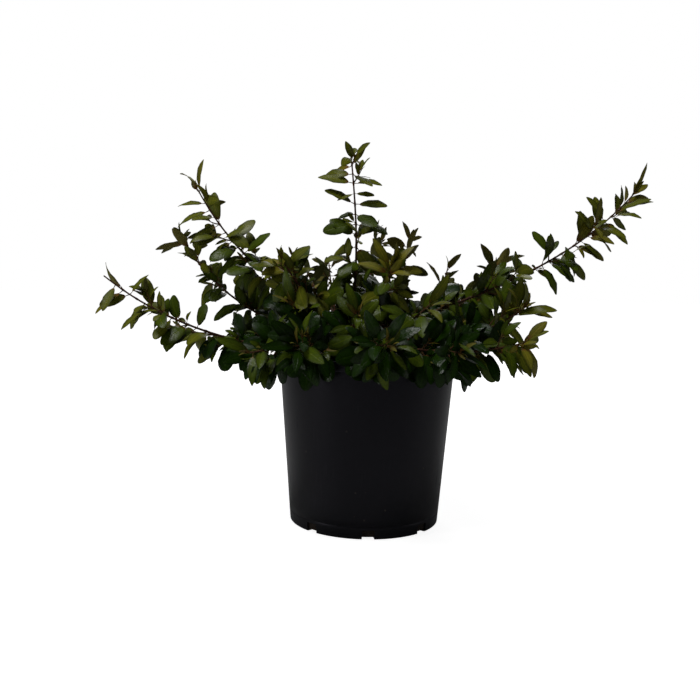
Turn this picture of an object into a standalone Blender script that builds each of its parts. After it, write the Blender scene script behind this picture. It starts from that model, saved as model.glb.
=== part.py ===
# A dusky bells correa in a round nursery pot: a short main stem in a plug of potting mix, boughs
# that arch out of it on all sides, and on each bough a mass of foliage, which is one shoot with
# leaves in opposite pairs and short side twigs. Metres, +Z up, origin at the middle of the pot's
# flat underside, +X to the right and +Y to the back of the plant.

import math
import random

import bmesh
import bpy
from mathutils import Matrix, Vector
from mathutils.bvhtree import BVHTree

MM = 0.001
GAP = 0.3 * MM              # clearance that touching pieces keep
MERGE = 0.001 * MM          # points closer than this become one
SHARP_ANGLE = math.radians(35)
RIGHT = Vector((1, 0, 0))
UP = Vector((0, 0, 1))

# The pot, a plain 200 mm nursery pot
POT_HEIGHT = 190 * MM
POT_TOP_RADIUS = 100 * MM
POT_BASE_RADIUS = 84.3 * MM
POT_WALL = 1.6 * MM
POT_FLOOR = 2.0 * MM
POT_SIDES = 48
COLLAR_HEIGHT = 10.5 * MM   # thicker band round the rim
COLLAR_STEP = 0.7 * MM
SLOT_COUNT = 8              # drainage slots at the corner of floor and wall
SLOT_TURN = 2.5             # degrees that the front slot lies off the front
SLOT_WIDTH = 13.5 * MM
SLOT_HEIGHT = 10 * MM
SLOT_REACH = 71 * MM        # radius where a slot starts, in the floor
CUTTER_EXCESS = 20 * MM     # how far a cutter runs past what it cuts

# The potting mix
MIX_TOP = 172 * MM

# The main stem, which stands left of the pot's middle
STEM_FOOT = Vector((-24 * MM, 0, MIX_TOP + GAP))
STEM_HEIGHT = 46 * MM
STEM_LEAN = Vector((2.5 * MM, 1.0 * MM, 0))
STEM_FLARE_RADIUS = 7.5 * MM
STEM_FLARE_FADE = 3 * MM    # height over which the flare falls to about a third
STEM_RADIUS = 5.0 * MM
STEM_TOP_RADIUS = 4.2 * MM
STEM_SIDES = 12
STEM_RINGS = 7
STEM_RING_CROWDING = 1.5    # power that crowds the rings towards the flare

# Boughs, shoots and twigs, from thick to thin
BOUGH_RADIUS = 2.3 * MM
LEADER_RADIUS = 2.9 * MM    # the one bough on top of the main stem
LEADER_CLEAR = 0.6 * MM     # its foot leans a little, so it starts twice the gap above the stem
BOUGH_SIDES = 5
BOUGH_RINGS = 6
SHOOT_RADIUS = 1.5 * MM     # where a mass starts
SHOOT_TIP_RADIUS = 0.8 * MM
SHOOT_RING_GAP = 26 * MM    # about the length of one straight piece of a shoot
TWIG_RADIUS = 0.9 * MM
TWIG_TIP_RADIUS = 0.6 * MM
TWIG_SIDES = 3              # of shoots too
LINE_STEPS = 48             # straight steps in a centre line
HANDLE = 0.36               # of the way from foot to tip, at each end of a centre line

# Leaves: sizes are shares of a leaf's length, unless they say otherwise
LEAF_THICKNESS = 0.045
LEAF_WIDTH = 0.52           # on the oldest leaves
YOUNG_WIDTH = 0.40          # at a tip
SOLID_WIDTH = 1.22          # an eight-faced leaf is this much wider, to cover what an oval one does
LEAF_WIDEST = 0.46          # how far along it is widest
LEAF_DEEPEST = 0.30         # how far along it is thickest
LEAF_CLEAR = 0.45 * MM      # least distance from a leaf to another node
LEAF_SINK = 0.4             # how deep its foot goes in, in radii of its stem
LEAF_SIZE_JITTER = 0.18
LEAF_SPREAD = 68            # degrees from the stem, on the oldest leaves
YOUNG_SPREAD = 50
TIP_SPREAD = 36
LEAF_SPREAD_JITTER = 15
TURN_JITTER = 18            # degrees round the stem
ROLL_JITTER = 28            # degrees round the leaf's own midrib
DROOP = 0.55                # downward pull on the oldest leaves
TIP_SHRINK = 0.22           # how much smaller the last leaves are than the largest

# Where leaf pairs and twigs stand
FIRST_NODE = 0.4            # of a gap, past the end of the bough
LAST_NODE = 11 * MM         # before the tip
NODE_CROWDING = 0.6         # last gap between leaf pairs, as a share of the first
NODE_JITTER = 0.16          # of a gap
TIP_GAP = 4 * MM            # from the last pair to the tip
TWIG_SPREAD = 42            # degrees from the stem
TWIG_SHRINK = 0.4           # how much shorter the last twigs are
TWIG_LEAST = 0.3            # the weakest twig, as a share of the strongest
TWIG_LEAF = 0.56            # of the leaf in whose axil the twig stands
TWIG_RISE = 0.25            # upward pull on a twig
TWIG_VIGOUR = 0.86          # only twigs stronger than this are solid

# Each shoot: its tip in mm, height of its foot on the main stem in mm, steepness at its foot and
# at its tip in degrees, length of its bare bough in mm, first gap between leaf pairs in mm, turn of
# the first pair in degrees, length of its largest leaf in mm, length of its longest twig in mm, and
# the seed of its small irregularities.
SHOOTS = {
    "leader": dict(tip=(-24, 0, 418), foot=46, rise=100, lift=83, bare=24, step=28, turn=75,
                   leaf=29, twig=27, seed=442),
    "left_low": dict(tip=(-281, -60, 272), foot=13, rise=5, lift=39, bare=78, step=26, turn=165,
                     leaf=33, twig=32, seed=42),
    "left_lower": dict(tip=(-211, 10, 210), foot=7, rise=10, lift=5, bare=81, step=28, turn=120,
                       leaf=37, twig=24, seed=12),
    "left_middle": dict(tip=(-222, 45, 323), foot=20, rise=16, lift=63, bare=78, step=25, turn=165,
                        leaf=32, twig=26, seed=767),
    "left_high": dict(tip=(-195, 10, 370), foot=29, rise=38, lift=61, bare=70, step=28, turn=130,
                      leaf=38, twig=28, seed=545),
    "left_rosette": dict(tip=(-92, -45, 292), foot=39, rise=50, lift=65, bare=43, step=21, turn=95,
                         leaf=36, twig=26, seed=840),
    "left_near": dict(tip=(-122, -95, 197), foot=17, rise=18, lift=-6, bare=56, step=22, turn=165,
                      leaf=43, twig=30, seed=727),
    "front_left": dict(tip=(-71, -135, 209), foot=11, rise=16, lift=10, bare=66, step=17, turn=5,
                       leaf=40, twig=22, seed=821),
    "front": dict(tip=(15, -150, 214), foot=6, rise=16, lift=14, bare=74, step=18, turn=115,
                  leaf=44, twig=22, seed=555),
    "front_right": dict(tip=(87, -125, 205), foot=14, rise=16, lift=2, bare=74, step=20, turn=175,
                        leaf=41, twig=26, seed=548),
    "right_near": dict(tip=(169, -95, 216), foot=8, rise=12, lift=18, bare=92, step=29, turn=80,
                       leaf=37, twig=24, seed=813),
    "right_low": dict(tip=(164, -50, 246), foot=19, rise=14, lift=40, bare=74, step=27, turn=125,
                      leaf=43, twig=31, seed=54),
    "right_high": dict(tip=(301, 25, 377), foot=26, rise=24, lift=49, bare=92, step=24, turn=115,
                       leaf=39, twig=29, seed=993),
    "right_top": dict(tip=(153, 70, 294), foot=32, rise=28, lift=76, bare=75, step=27, turn=65,
                      leaf=33, twig=30, seed=526),
    "right_back": dict(tip=(135, 130, 250), foot=13, rise=20, lift=25, bare=79, step=27, turn=155,
                       leaf=44, twig=28, seed=605),
    "back_right": dict(tip=(105, 150, 288), foot=21, rise=26, lift=70, bare=74, step=25, turn=65,
                       leaf=30, twig=28, seed=16),
    "back_middle": dict(tip=(53, 130, 325), foot=27, rise=36, lift=76, bare=60, step=25, turn=30,
                        leaf=30, twig=24, seed=26),
    "back": dict(tip=(12, 185, 333), foot=16, rise=30, lift=62, bare=74, step=27, turn=85,
                 leaf=32, twig=28, seed=32),
    "back_left": dict(tip=(-51, 190, 296), foot=9, rise=26, lift=51, bare=79, step=26, turn=50,
                      leaf=33, twig=28, seed=366),
    "left_behind": dict(tip=(-82, 130, 298), foot=36, rise=40, lift=57, bare=69, step=25, turn=125,
                        leaf=32, twig=22, seed=81),
    "left_back": dict(tip=(-142, 120, 254), foot=15, rise=20, lift=40, bare=73, step=22, turn=55,
                      leaf=42, twig=30, seed=506),
    "inner_right": dict(tip=(23, -35, 287), foot=37, rise=50, lift=83, bare=34, step=19, turn=160,
                        leaf=34, twig=22, seed=46),
    "inner_left": dict(tip=(-80, -62, 244), foot=27, rise=34, lift=44, bare=36, step=17, turn=25,
                       leaf=44, twig=22, seed=711),
    "inner_front": dict(tip=(-12, -88, 238), foot=20, rise=34, lift=40, bare=38, step=22, turn=55,
                        leaf=36, twig=22, seed=408),
    "inner_near": dict(tip=(62, -70, 248), foot=28, rise=30, lift=40, bare=44, step=19, turn=65,
                       leaf=44, twig=28, seed=940),
    "inner_back": dict(tip=(44, 62, 268), foot=39, rise=36, lift=56, bare=40, step=18, turn=155,
                       leaf=28, twig=22, seed=789),
    "inner_behind": dict(tip=(-66, 66, 262), foot=27, rise=40, lift=56, bare=36, step=23, turn=165,
                         leaf=29, twig=24, seed=834),
}


# A centre line, and places along it

def bearing(azimuth, elevation):
    """Unit vector at an azimuth from +X and an elevation above the horizontal, in radians."""
    flat = math.cos(elevation)
    return Vector((flat * math.cos(azimuth), flat * math.sin(azimuth), math.sin(elevation)))


def between(a, b, share):
    return a + (b - a) * share


class Line:
    """A smooth line through points, read by the length along it."""

    def __init__(self, points):
        self.points = points
        self.marks = [0.0]
        for a, b in zip(points, points[1:]):
            self.marks.append(self.marks[-1] + (b - a).length)
        self.length = self.marks[-1]

    def step_at(self, distance):
        for step in range(len(self.points) - 2):
            if self.marks[step + 1] >= distance:
                return step
        return len(self.points) - 2

    def at(self, distance):
        step = self.step_at(distance)
        span = self.marks[step + 1] - self.marks[step]
        share = (distance - self.marks[step]) / span
        return between(self.points[step], self.points[step + 1], share)

    def heading(self, distance):
        step = self.step_at(distance)
        return (self.points[step + 1] - self.points[step]).normalized()


def stem_axis(height):
    """Centre of the main stem at a height above its foot."""
    share = height / STEM_HEIGHT
    return STEM_FOOT + STEM_LEAN * share * share + UP * height


def shoot_line(shoot):
    """A cubic Bezier from the main stem's axis to the shoot's tip, and the level way across it."""
    foot = stem_axis(shoot["foot"] * MM)
    tip = Vector(shoot["tip"]) * MM
    azimuth = math.atan2(tip.y - foot.y, tip.x - foot.x)
    reach = (tip - foot).length * HANDLE
    near = foot + bearing(azimuth, math.radians(shoot["rise"])) * reach
    far = tip - bearing(azimuth, math.radians(shoot["lift"])) * reach
    points = []
    for step in range(LINE_STEPS + 1):
        t = step / LINE_STEPS
        first = between(foot, near, t)
        second = between(near, far, t)
        third = between(far, tip, t)
        points.append(between(between(first, second, t), between(second, third, t), t))
    side = Vector((-math.sin(azimuth), math.cos(azimuth), 0))
    return Line(points), side


# The growth rule: what grows on a shoot, as plain numbers

def grow_leaf(draw, foot, heading, outward, length, width, spread, droop):
    """A leaf that opens from its stem towards outward: its foot, direction, face, length and width."""
    opening = math.radians(spread + draw.uniform(-1, 1) * LEAF_SPREAD_JITTER)
    roll = math.radians(draw.uniform(-1, 1) * ROLL_JITTER)
    size = length * draw.uniform(1 - LEAF_SIZE_JITTER, 1 + LEAF_SIZE_JITTER)
    way = heading * math.cos(opening) + outward * math.sin(opening)
    way.z -= droop * (1 - outward.z) / 2
    way.normalize()
    face = heading - way * heading.dot(way)
    face.normalize()
    face = face * math.cos(roll) + way.cross(face) * math.sin(roll)
    return dict(foot=foot, way=way, face=face, length=size, width=size * width)


def grow_pair(draw, foot, heading, outward, length, width, spread, droop):
    """Two opposite leaves at one place on a stem."""
    pair = []
    for sign in (1, -1):
        pair.append(grow_leaf(draw, foot, heading, outward * sign, length, width, spread, droop))
    return pair


def grow_twig(draw, foot, heading, outward, length, leaf):
    """A side twig that bends upwards and ends in a pair of small leaves."""
    opening = math.radians(TWIG_SPREAD + draw.uniform(-1, 1) * LEAF_SPREAD_JITTER)
    way = heading * math.cos(opening) + outward * math.sin(opening)
    bend = (way + UP * TWIG_RISE).normalized()
    middle = foot + way * length / 2
    tip = middle + bend * length / 2
    side = bend.cross(outward).normalized()
    leaves = grow_pair(draw, tip, bend, side, leaf, YOUNG_WIDTH, TIP_SPREAD, 0)
    return dict(points=[foot, middle, tip], leaves=leaves)


def grow(shoot, line, side):
    """Leaf pairs and side twigs along a shoot, past its bare bough."""
    draw = random.Random(shoot["seed"])
    start = shoot["bare"] * MM
    largest = shoot["leaf"] * MM
    gap = shoot["step"] * MM
    leaves = []
    twigs = []
    place = start + gap * FIRST_NODE
    turn = math.radians(shoot["turn"])
    while place < line.length - LAST_NODE:
        share = (place - start) / (line.length - start)
        foot = line.at(place)
        heading = line.heading(place)
        angle = turn + math.radians(draw.uniform(-1, 1) * TURN_JITTER)
        outward = heading.cross(side) * math.cos(angle) + side * math.sin(angle)
        size = largest * (1 - TIP_SHRINK * share)
        width = LEAF_WIDTH + (YOUNG_WIDTH - LEAF_WIDTH) * share
        spread = LEAF_SPREAD + (YOUNG_SPREAD - LEAF_SPREAD) * share
        leaves += grow_pair(draw, foot, heading, outward, size, width, spread, DROOP * (1 - share))
        for sign in (1, -1):
            strength = draw.random()
            length = shoot["twig"] * MM * (1 - TWIG_SHRINK * share)
            length *= TWIG_LEAST + (1 - TWIG_LEAST) * strength
            twig = grow_twig(draw, foot, heading, outward * sign, length, size * TWIG_LEAF)
            if strength > TWIG_VIGOUR:
                twigs.append(twig)
        turn += math.radians(90)
        crowding = 1 - (1 - NODE_CROWDING) * share
        place += gap * crowding * (1 + draw.uniform(-1, 1) * NODE_JITTER)
    heading = line.heading(line.length)
    outward = heading.cross(side) * math.cos(turn) + side * math.sin(turn)
    foot = line.at(line.length - TIP_GAP)
    size = largest * (1 - TIP_SHRINK)
    leaves += grow_pair(draw, foot, heading, outward, size, YOUNG_WIDTH, TIP_SPREAD, 0)
    return leaves, twigs


# Meshes

def finish(name, mesh, material):
    mesh.name = name
    mesh.materials.clear()
    mesh.materials.append(material)
    mesh.shade_smooth()
    mesh.set_sharp_from_angle(angle=SHARP_ANGLE)
    thing = bpy.data.objects.new(name, mesh)
    bpy.context.collection.objects.link(thing)
    return thing


def mesh_from(bm, name):
    bmesh.ops.recalc_face_normals(bm, faces=bm.faces)
    mesh = bpy.data.meshes.new(name)
    bm.to_mesh(mesh)
    bm.free()
    return mesh


def add_loft(bm, rings):
    """Walls between rings of points, with a flat cap on each end ring."""
    loops = [[bm.verts.new(point) for point in ring] for ring in rings]
    for lower, upper in zip(loops, loops[1:]):
        for i, corner in enumerate(lower):
            j = (i + 1) % len(lower)
            bm.faces.new((corner, lower[j], upper[j], upper[i]))
    bm.faces.new(reversed(loops[0]))
    bm.faces.new(loops[-1])


def ring_round(centre, heading, side, radius, sides):
    """Corners of a regular ring across a heading, the first one on the side."""
    across = (side - heading * side.dot(heading)).normalized()
    up = heading.cross(across)
    ring = []
    for i in range(sides):
        angle = 2 * math.pi * i / sides
        ring.append(centre + (across * math.cos(angle) + up * math.sin(angle)) * radius)
    return ring


def limb_rings(line, side, start, end, radii, rings, sides):
    """Rings of a tapering limb along a stretch of a line."""
    made = []
    for i in range(rings):
        share = i / (rings - 1)
        place = start + (end - start) * share
        radius = radii[0] + (radii[1] - radii[0]) * share
        made.append(ring_round(line.at(place), line.heading(place), side, radius, sides))
    return made


def twig_rings(points, side, grow_out):
    """Rings of a side twig, its foot sunk in the stem; grow_out thickens it all round."""
    made = []
    for i, point in enumerate(points):
        before = points[max(i - 1, 0)]
        after = points[min(i + 1, len(points) - 1)]
        radius = TWIG_RADIUS + (TWIG_TIP_RADIUS - TWIG_RADIUS) * i / (len(points) - 1)
        heading = (after - before).normalized()
        made.append(ring_round(point, heading, side, radius + grow_out, TWIG_SIDES))
    return made


def add_leaf(bm, leaf, sink, grow_out):
    """A flat eight-faced leaf, its foot sunk in the stem; grow_out thickens it all round."""
    way = leaf["way"]
    face = leaf["face"]
    across = way.cross(face)
    length = leaf["length"]
    half_width = leaf["width"] * SOLID_WIDTH / 2 + grow_out
    half_depth = length * LEAF_THICKNESS / 2 + grow_out
    widest = leaf["foot"] + way * length * LEAF_WIDEST
    deepest = leaf["foot"] + way * length * LEAF_DEEPEST
    foot = bm.verts.new(leaf["foot"] - way * sink)
    tip = bm.verts.new(leaf["foot"] + way * (length + grow_out))
    belt = [widest + across * half_width, deepest + face * half_depth,
            widest - across * half_width, deepest - face * half_depth]
    belt = [bm.verts.new(point) for point in belt]
    for i, corner in enumerate(belt):
        following = belt[(i + 1) % len(belt)]
        bm.faces.new((foot, corner, following))
        bm.faces.new((tip, following, corner))


def turned(profile, sides, name):
    """A profile of (radius, height) points, open at the axis, turned round +Z."""
    bm = bmesh.new()
    corners = [bm.verts.new((radius, 0, height)) for radius, height in profile]
    edges = [bm.edges.new(pair) for pair in zip(corners, corners[1:])]
    bmesh.ops.spin(bm, geom=corners + edges, cent=(0, 0, 0), axis=(0, 0, 1),
                   angle=2 * math.pi, steps=sides, use_merge=True)
    bmesh.ops.remove_doubles(bm, verts=bm.verts, dist=MERGE)
    return mesh_from(bm, name)


# Materials

def finish_material(name, colour, roughness):
    material = bpy.data.materials.new(name)
    material.use_nodes = True
    shader = material.node_tree.nodes["Principled BSDF"]
    shader.inputs["Base Color"].default_value = (*colour, 1)
    shader.inputs["Roughness"].default_value = roughness
    shader.inputs["Metallic"].default_value = 0
    material.diffuse_color = (*colour, 1)
    return material


# The pot and its potting mix

def wall_radius(height):
    """Outer radius of the pot below its collar."""
    top = POT_TOP_RADIUS - COLLAR_STEP
    return POT_BASE_RADIUS + (top - POT_BASE_RADIUS) * height / POT_HEIGHT


def make_slot_cutter():
    """One block for each drainage slot at the corner of floor and wall."""
    bm = bmesh.new()
    reach = POT_BASE_RADIUS - SLOT_REACH + CUTTER_EXCESS
    tall = SLOT_HEIGHT + CUTTER_EXCESS
    for i in range(SLOT_COUNT):
        turn = math.radians(SLOT_TURN - 90) + 2 * math.pi * i / SLOT_COUNT
        block = (Matrix.Rotation(turn, 4, "Z")
                 @ Matrix.Translation((SLOT_REACH + reach / 2, 0, SLOT_HEIGHT - tall / 2))
                 @ Matrix.Diagonal((reach, SLOT_WIDTH, tall, 1)))
        bmesh.ops.create_cube(bm, size=1, matrix=block)
    cutter = bpy.data.objects.new("slot_cutter", mesh_from(bm, "slot_cutter"))
    bpy.context.collection.objects.link(cutter)
    cutter.hide_render = True
    cutter.display_type = "WIRE"
    return cutter


def make_pot(material):
    """Round tapered pot with a collar, a flat floor and drainage slots."""
    collar = POT_HEIGHT - COLLAR_HEIGHT
    profile = [
        (0, 0),
        (POT_BASE_RADIUS, 0),
        (wall_radius(collar), collar),
        (wall_radius(collar) + COLLAR_STEP, collar + COLLAR_STEP),
        (POT_TOP_RADIUS, POT_HEIGHT),
        (wall_radius(POT_HEIGHT) - POT_WALL, POT_HEIGHT),
        (wall_radius(POT_FLOOR) - POT_WALL, POT_FLOOR),
        (0, POT_FLOOR),
    ]
    pot = finish("pot", turned(profile, POT_SIDES, "pot"), material)
    cut = pot.modifiers.new("slots", "BOOLEAN")
    cut.operation = "DIFFERENCE"
    cut.solver = "EXACT"
    cut.object = make_slot_cutter()
    return pot


def make_potting_mix(material):
    """Plug of potting mix that fills the pot to below its rim."""
    foot = POT_FLOOR + GAP
    profile = [
        (0, foot),
        (wall_radius(foot) - POT_WALL - GAP, foot),
        (wall_radius(MIX_TOP) - POT_WALL - GAP, MIX_TOP),
        (0, MIX_TOP),
    ]
    return finish("potting_mix", turned(profile, POT_SIDES, "potting_mix"), material)


# The main stem and the boughs

def stem_radius(height):
    """Root flare that dies out quickly, then a slow taper."""
    flare = (STEM_FLARE_RADIUS - STEM_RADIUS) * math.exp(-height / STEM_FLARE_FADE)
    return flare + STEM_RADIUS + (STEM_TOP_RADIUS - STEM_RADIUS) * height / STEM_HEIGHT


def stem_mesh(grow_out, name):
    """The main stem, flat at its foot; grow_out thickens it all round."""
    bm = bmesh.new()
    rings = []
    for i in range(STEM_RINGS):
        height = STEM_HEIGHT * (i / (STEM_RINGS - 1)) ** STEM_RING_CROWDING
        centre = stem_axis(height)
        if i == 0:
            centre.z -= grow_out
        if i == STEM_RINGS - 1:
            centre.z += grow_out
        radius = stem_radius(height) + grow_out
        rings.append(ring_round(centre, UP, RIGHT, radius, STEM_SIDES))
    add_loft(bm, rings)
    return mesh_from(bm, name)


def make_stem_cutter():
    cutter = bpy.data.objects.new("stem_cutter", stem_mesh(GAP, "stem_cutter"))
    bpy.context.collection.objects.link(cutter)
    cutter.hide_render = True
    cutter.display_type = "WIRE"
    return cutter


def make_bough(name, shoot, cutter, material):
    """A tapering limb from the main stem to where its mass of foliage starts."""
    line, side = shoot_line(shoot)
    on_top = shoot["foot"] * MM >= STEM_HEIGHT
    start = LEADER_CLEAR if on_top else 0
    end = shoot["bare"] * MM - GAP / 2
    radii = (LEADER_RADIUS if on_top else BOUGH_RADIUS, SHOOT_RADIUS)
    bm = bmesh.new()
    add_loft(bm, limb_rings(line, side, start, end, radii, BOUGH_RINGS, BOUGH_SIDES))
    bough = finish(name, mesh_from(bm, name), material)
    if not on_top:
        cut = bough.modifiers.new("foot", "BOOLEAN")
        cut.operation = "DIFFERENCE"
        cut.solver = "EXACT"
        cut.object = cutter
    return bough


# The masses of foliage

class Space:
    """What is already built, as search trees, to keep leaves and twigs clear of it."""

    def __init__(self):
        self.trees = {}

    def add(self, name, bm):
        self.trees.setdefault(name, []).append(BVHTree.FromBMesh(bm))

    def is_free(self, owner, bm):
        tree = BVHTree.FromBMesh(bm)
        for name, others in self.trees.items():
            if name != owner and any(tree.overlap(other) for other in others):
                return False
        return True


def mass_stem(shoot, line, side, grow_out):
    """The stem of a mass, from its bough's tip to the shoot's tip."""
    bm = bmesh.new()
    start = shoot["bare"] * MM + GAP / 2
    radii = (SHOOT_RADIUS + grow_out, SHOOT_TIP_RADIUS + grow_out)
    pieces = round((line.length - start) / SHOOT_RING_GAP) + 1
    rings = pieces + 1
    add_loft(bm, limb_rings(line, side, start, line.length, radii, rings, TWIG_SIDES))
    return bm


def leaf_solid(leaf, sink, grow_out):
    bm = bmesh.new()
    add_leaf(bm, leaf, sink, grow_out)
    return bm


def twig_solid(twig, grow_out):
    bm = bmesh.new()
    side = (twig["points"][1] - twig["points"][0]).orthogonal()
    add_loft(bm, twig_rings(twig["points"], side, grow_out))
    return bm


def free_parts(name, leaves, twigs, space):
    """The twigs and leaves of a mass that keep clear of every other node."""
    parts = []
    borne = [(leaf, SHOOT_TIP_RADIUS) for leaf in leaves]
    for twig in twigs:
        if space.is_free(name, twig_solid(twig, LEAF_CLEAR)):
            parts.append(twig_solid(twig, 0))
            borne += [(leaf, TWIG_TIP_RADIUS) for leaf in twig["leaves"]]
    for leaf, bearer_radius in borne:
        if space.is_free(name, leaf_solid(leaf, 0, LEAF_CLEAR)):
            parts.append(leaf_solid(leaf, bearer_radius * LEAF_SINK, 0))
    return parts


def outer_skin(mesh):
    """Keeps the largest closed shell: drops scraps, and inner shells so that hollows fill."""
    bm = bmesh.new()
    bm.from_mesh(mesh)
    left = set(bm.faces)
    shells = []
    while left:
        shell = [left.pop()]
        for face in shell:
            for edge in face.edges:
                for other in edge.link_faces:
                    if other in left:
                        left.remove(other)
                        shell.append(other)
        shells.append(shell)
    shells.sort(key=len, reverse=True)
    for shell in shells[1:]:
        bmesh.ops.delete(bm, geom=shell, context="FACES")
    bm.to_mesh(mesh)
    bm.free()
    return mesh


def fuse(name, stem, parts, material):
    """Joins a mass's stem, twigs and leaves by one union on a collection."""
    group = bpy.data.collections.new(name + "_parts")
    for part in parts:
        group.objects.link(bpy.data.objects.new(name + "_part", mesh_from(part, name + "_part")))
    whole = finish(name, mesh_from(stem, name), material)
    union = whole.modifiers.new("join", "BOOLEAN")
    union.operation = "UNION"
    union.operand_type = "COLLECTION"
    union.collection = group
    union.solver = "EXACT"
    state = bpy.context.evaluated_depsgraph_get()
    joined = outer_skin(bpy.data.meshes.new_from_object(whole.evaluated_get(state)))
    whole.modifiers.remove(union)
    whole.data = joined
    for part in list(group.objects):
        bpy.data.objects.remove(part)
    bpy.data.collections.remove(group)
    return whole


def clear_scene():
    for thing in list(bpy.data.objects):
        bpy.data.objects.remove(thing)


def main():
    clear_scene()
    plastic = finish_material("pot_plastic", (0.012, 0.012, 0.015), 0.5)
    mix = finish_material("potting_mix", (0.045, 0.028, 0.018), 0.95)
    bark = finish_material("bark", (0.11, 0.055, 0.035), 0.8)
    foliage = finish_material("foliage", (0.05, 0.10, 0.02), 0.45)

    fixed = [make_pot(plastic), make_potting_mix(mix)]
    fixed.append(finish("main_stem", stem_mesh(0, "main_stem"), bark))
    cutter = make_stem_cutter()
    for name, shoot in SHOOTS.items():
        fixed.append(make_bough("bough_" + name, shoot, cutter, bark))

    space = Space()
    state = bpy.context.evaluated_depsgraph_get()
    for thing in fixed:
        bm = bmesh.new()
        bm.from_object(thing, state)
        space.add(thing.name, bm)
    for name, shoot in SHOOTS.items():
        line, side = shoot_line(shoot)
        space.add("foliage_" + name, mass_stem(shoot, line, side, LEAF_CLEAR))

    for name, shoot in SHOOTS.items():
        mass = "foliage_" + name
        line, side = shoot_line(shoot)
        parts = free_parts(mass, *grow(shoot, line, side), space)
        for part in parts:
            space.add(mass, part)
        fuse(mass, mass_stem(shoot, line, side, 0), parts, foliage)


main()
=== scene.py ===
# A young correa in a nursery pot: leaves, shoots, bark, potting mix and pot, grown and moulded
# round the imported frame. Metres, +Z up, +Y to the back.
import math
import random

import bmesh
import bpy
import numpy as np
from mathutils import Matrix, Vector
from mathutils.bvhtree import BVHTree


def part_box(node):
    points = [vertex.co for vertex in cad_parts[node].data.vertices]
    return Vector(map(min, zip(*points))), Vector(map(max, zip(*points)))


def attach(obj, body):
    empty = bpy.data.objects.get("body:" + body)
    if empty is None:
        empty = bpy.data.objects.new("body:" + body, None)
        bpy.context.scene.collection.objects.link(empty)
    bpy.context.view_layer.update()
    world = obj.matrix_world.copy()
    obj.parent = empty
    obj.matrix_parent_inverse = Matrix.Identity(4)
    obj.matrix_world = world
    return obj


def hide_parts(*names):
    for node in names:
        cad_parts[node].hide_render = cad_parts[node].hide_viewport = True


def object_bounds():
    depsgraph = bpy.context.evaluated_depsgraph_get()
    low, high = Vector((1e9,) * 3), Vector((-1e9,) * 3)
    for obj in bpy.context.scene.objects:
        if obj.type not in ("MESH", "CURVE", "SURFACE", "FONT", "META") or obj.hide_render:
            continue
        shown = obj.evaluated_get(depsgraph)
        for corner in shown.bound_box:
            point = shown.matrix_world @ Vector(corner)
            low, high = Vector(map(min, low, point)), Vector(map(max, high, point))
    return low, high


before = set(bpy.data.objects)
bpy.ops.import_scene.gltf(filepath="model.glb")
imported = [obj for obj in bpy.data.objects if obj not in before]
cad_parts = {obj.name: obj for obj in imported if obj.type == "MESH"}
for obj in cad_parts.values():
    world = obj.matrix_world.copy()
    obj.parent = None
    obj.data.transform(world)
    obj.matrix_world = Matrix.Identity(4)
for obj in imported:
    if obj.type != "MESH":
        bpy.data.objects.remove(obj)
cadLow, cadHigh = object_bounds()
mm = 0.001
print("frame loaded:", len(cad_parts), "nodes")


# Camera and stage

cameraSettings = {
    "place": (-0.0197, -0.9550, 0.2855),
    "pitchDown": 5.533,    # degrees
    "roll": 1.2304,        # degrees
    "lens": 43.52,         # mm, on a sensor 36 mm wide
    "sensor": 36.0,
}


def makeCamera():
    data = bpy.data.cameras.new("camera")
    data.lens = cameraSettings["lens"]
    data.sensor_width = cameraSettings["sensor"]
    camera = bpy.data.objects.new("camera", data)
    bpy.context.scene.collection.objects.link(camera)
    tilt = Matrix.Rotation(math.radians(90 - cameraSettings["pitchDown"]), 4, "X")
    roll = Matrix.Rotation(math.radians(cameraSettings["roll"]), 4, "Z")
    camera.matrix_world = Matrix.Translation(cameraSettings["place"]) @ tilt @ roll
    bpy.context.scene.camera = camera


makeCamera()


# Mesh helpers

def makeMesh(name, points, faceSets, materials, faceSlots=None, uv=None, sharpAngle=40):
    # Arrays straight into a mesh: every face set is a table of corner numbers, one face to a row
    corners = np.concatenate([faces.ravel() for faces in faceSets]).astype(np.int32)
    sizes = np.concatenate([np.full(len(faces), faces.shape[1]) for faces in faceSets])
    starts = np.concatenate([[0], np.cumsum(sizes)[:-1]]).astype(np.int32)
    mesh = bpy.data.meshes.new(name)
    mesh.vertices.add(len(points))
    mesh.vertices.foreach_set("co", np.asarray(points, np.float32).ravel())
    mesh.loops.add(len(corners))
    mesh.loops.foreach_set("vertex_index", corners)
    mesh.polygons.add(len(sizes))
    mesh.polygons.foreach_set("loop_start", starts)
    for material in materials:
        mesh.materials.append(material)
    if faceSlots is not None:
        mesh.polygons.foreach_set("material_index", faceSlots.astype(np.int32))
    if uv is not None:
        layer = mesh.uv_layers.new(name="blade")
        layer.data.foreach_set("uv", uv.astype(np.float32).ravel())
    mesh.update(calc_edges=True)
    mesh.validate()
    mesh.shade_smooth()
    mesh.set_sharp_from_angle(angle=math.radians(sharpAngle))
    return mesh


def addPiece(mesh, replaced):
    piece = bpy.data.objects.new(mesh.name, mesh)
    bpy.context.scene.collection.objects.link(piece)
    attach(piece, "root")
    if replaced:
        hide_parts(*replaced)
    print("made", piece.name, len(mesh.polygons), "faces")
    return piece


def joinParts(parts):
    # Points and face tables of several parts as one, faces of one size together
    points = []
    bySize = {}
    offset = 0
    for partPoints, faceSets in parts:
        points.append(partPoints)
        for faces in faceSets:
            bySize.setdefault(faces.shape[1], []).append(faces + offset)
        offset += len(partPoints)
    return np.concatenate(points), [np.concatenate(faces) for faces in bySize.values()]


def unit(vectors):
    return vectors / np.linalg.norm(vectors, axis=-1, keepdims=True)


def roundAngles(count):
    return np.arange(count) * 2 * np.pi / count


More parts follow.
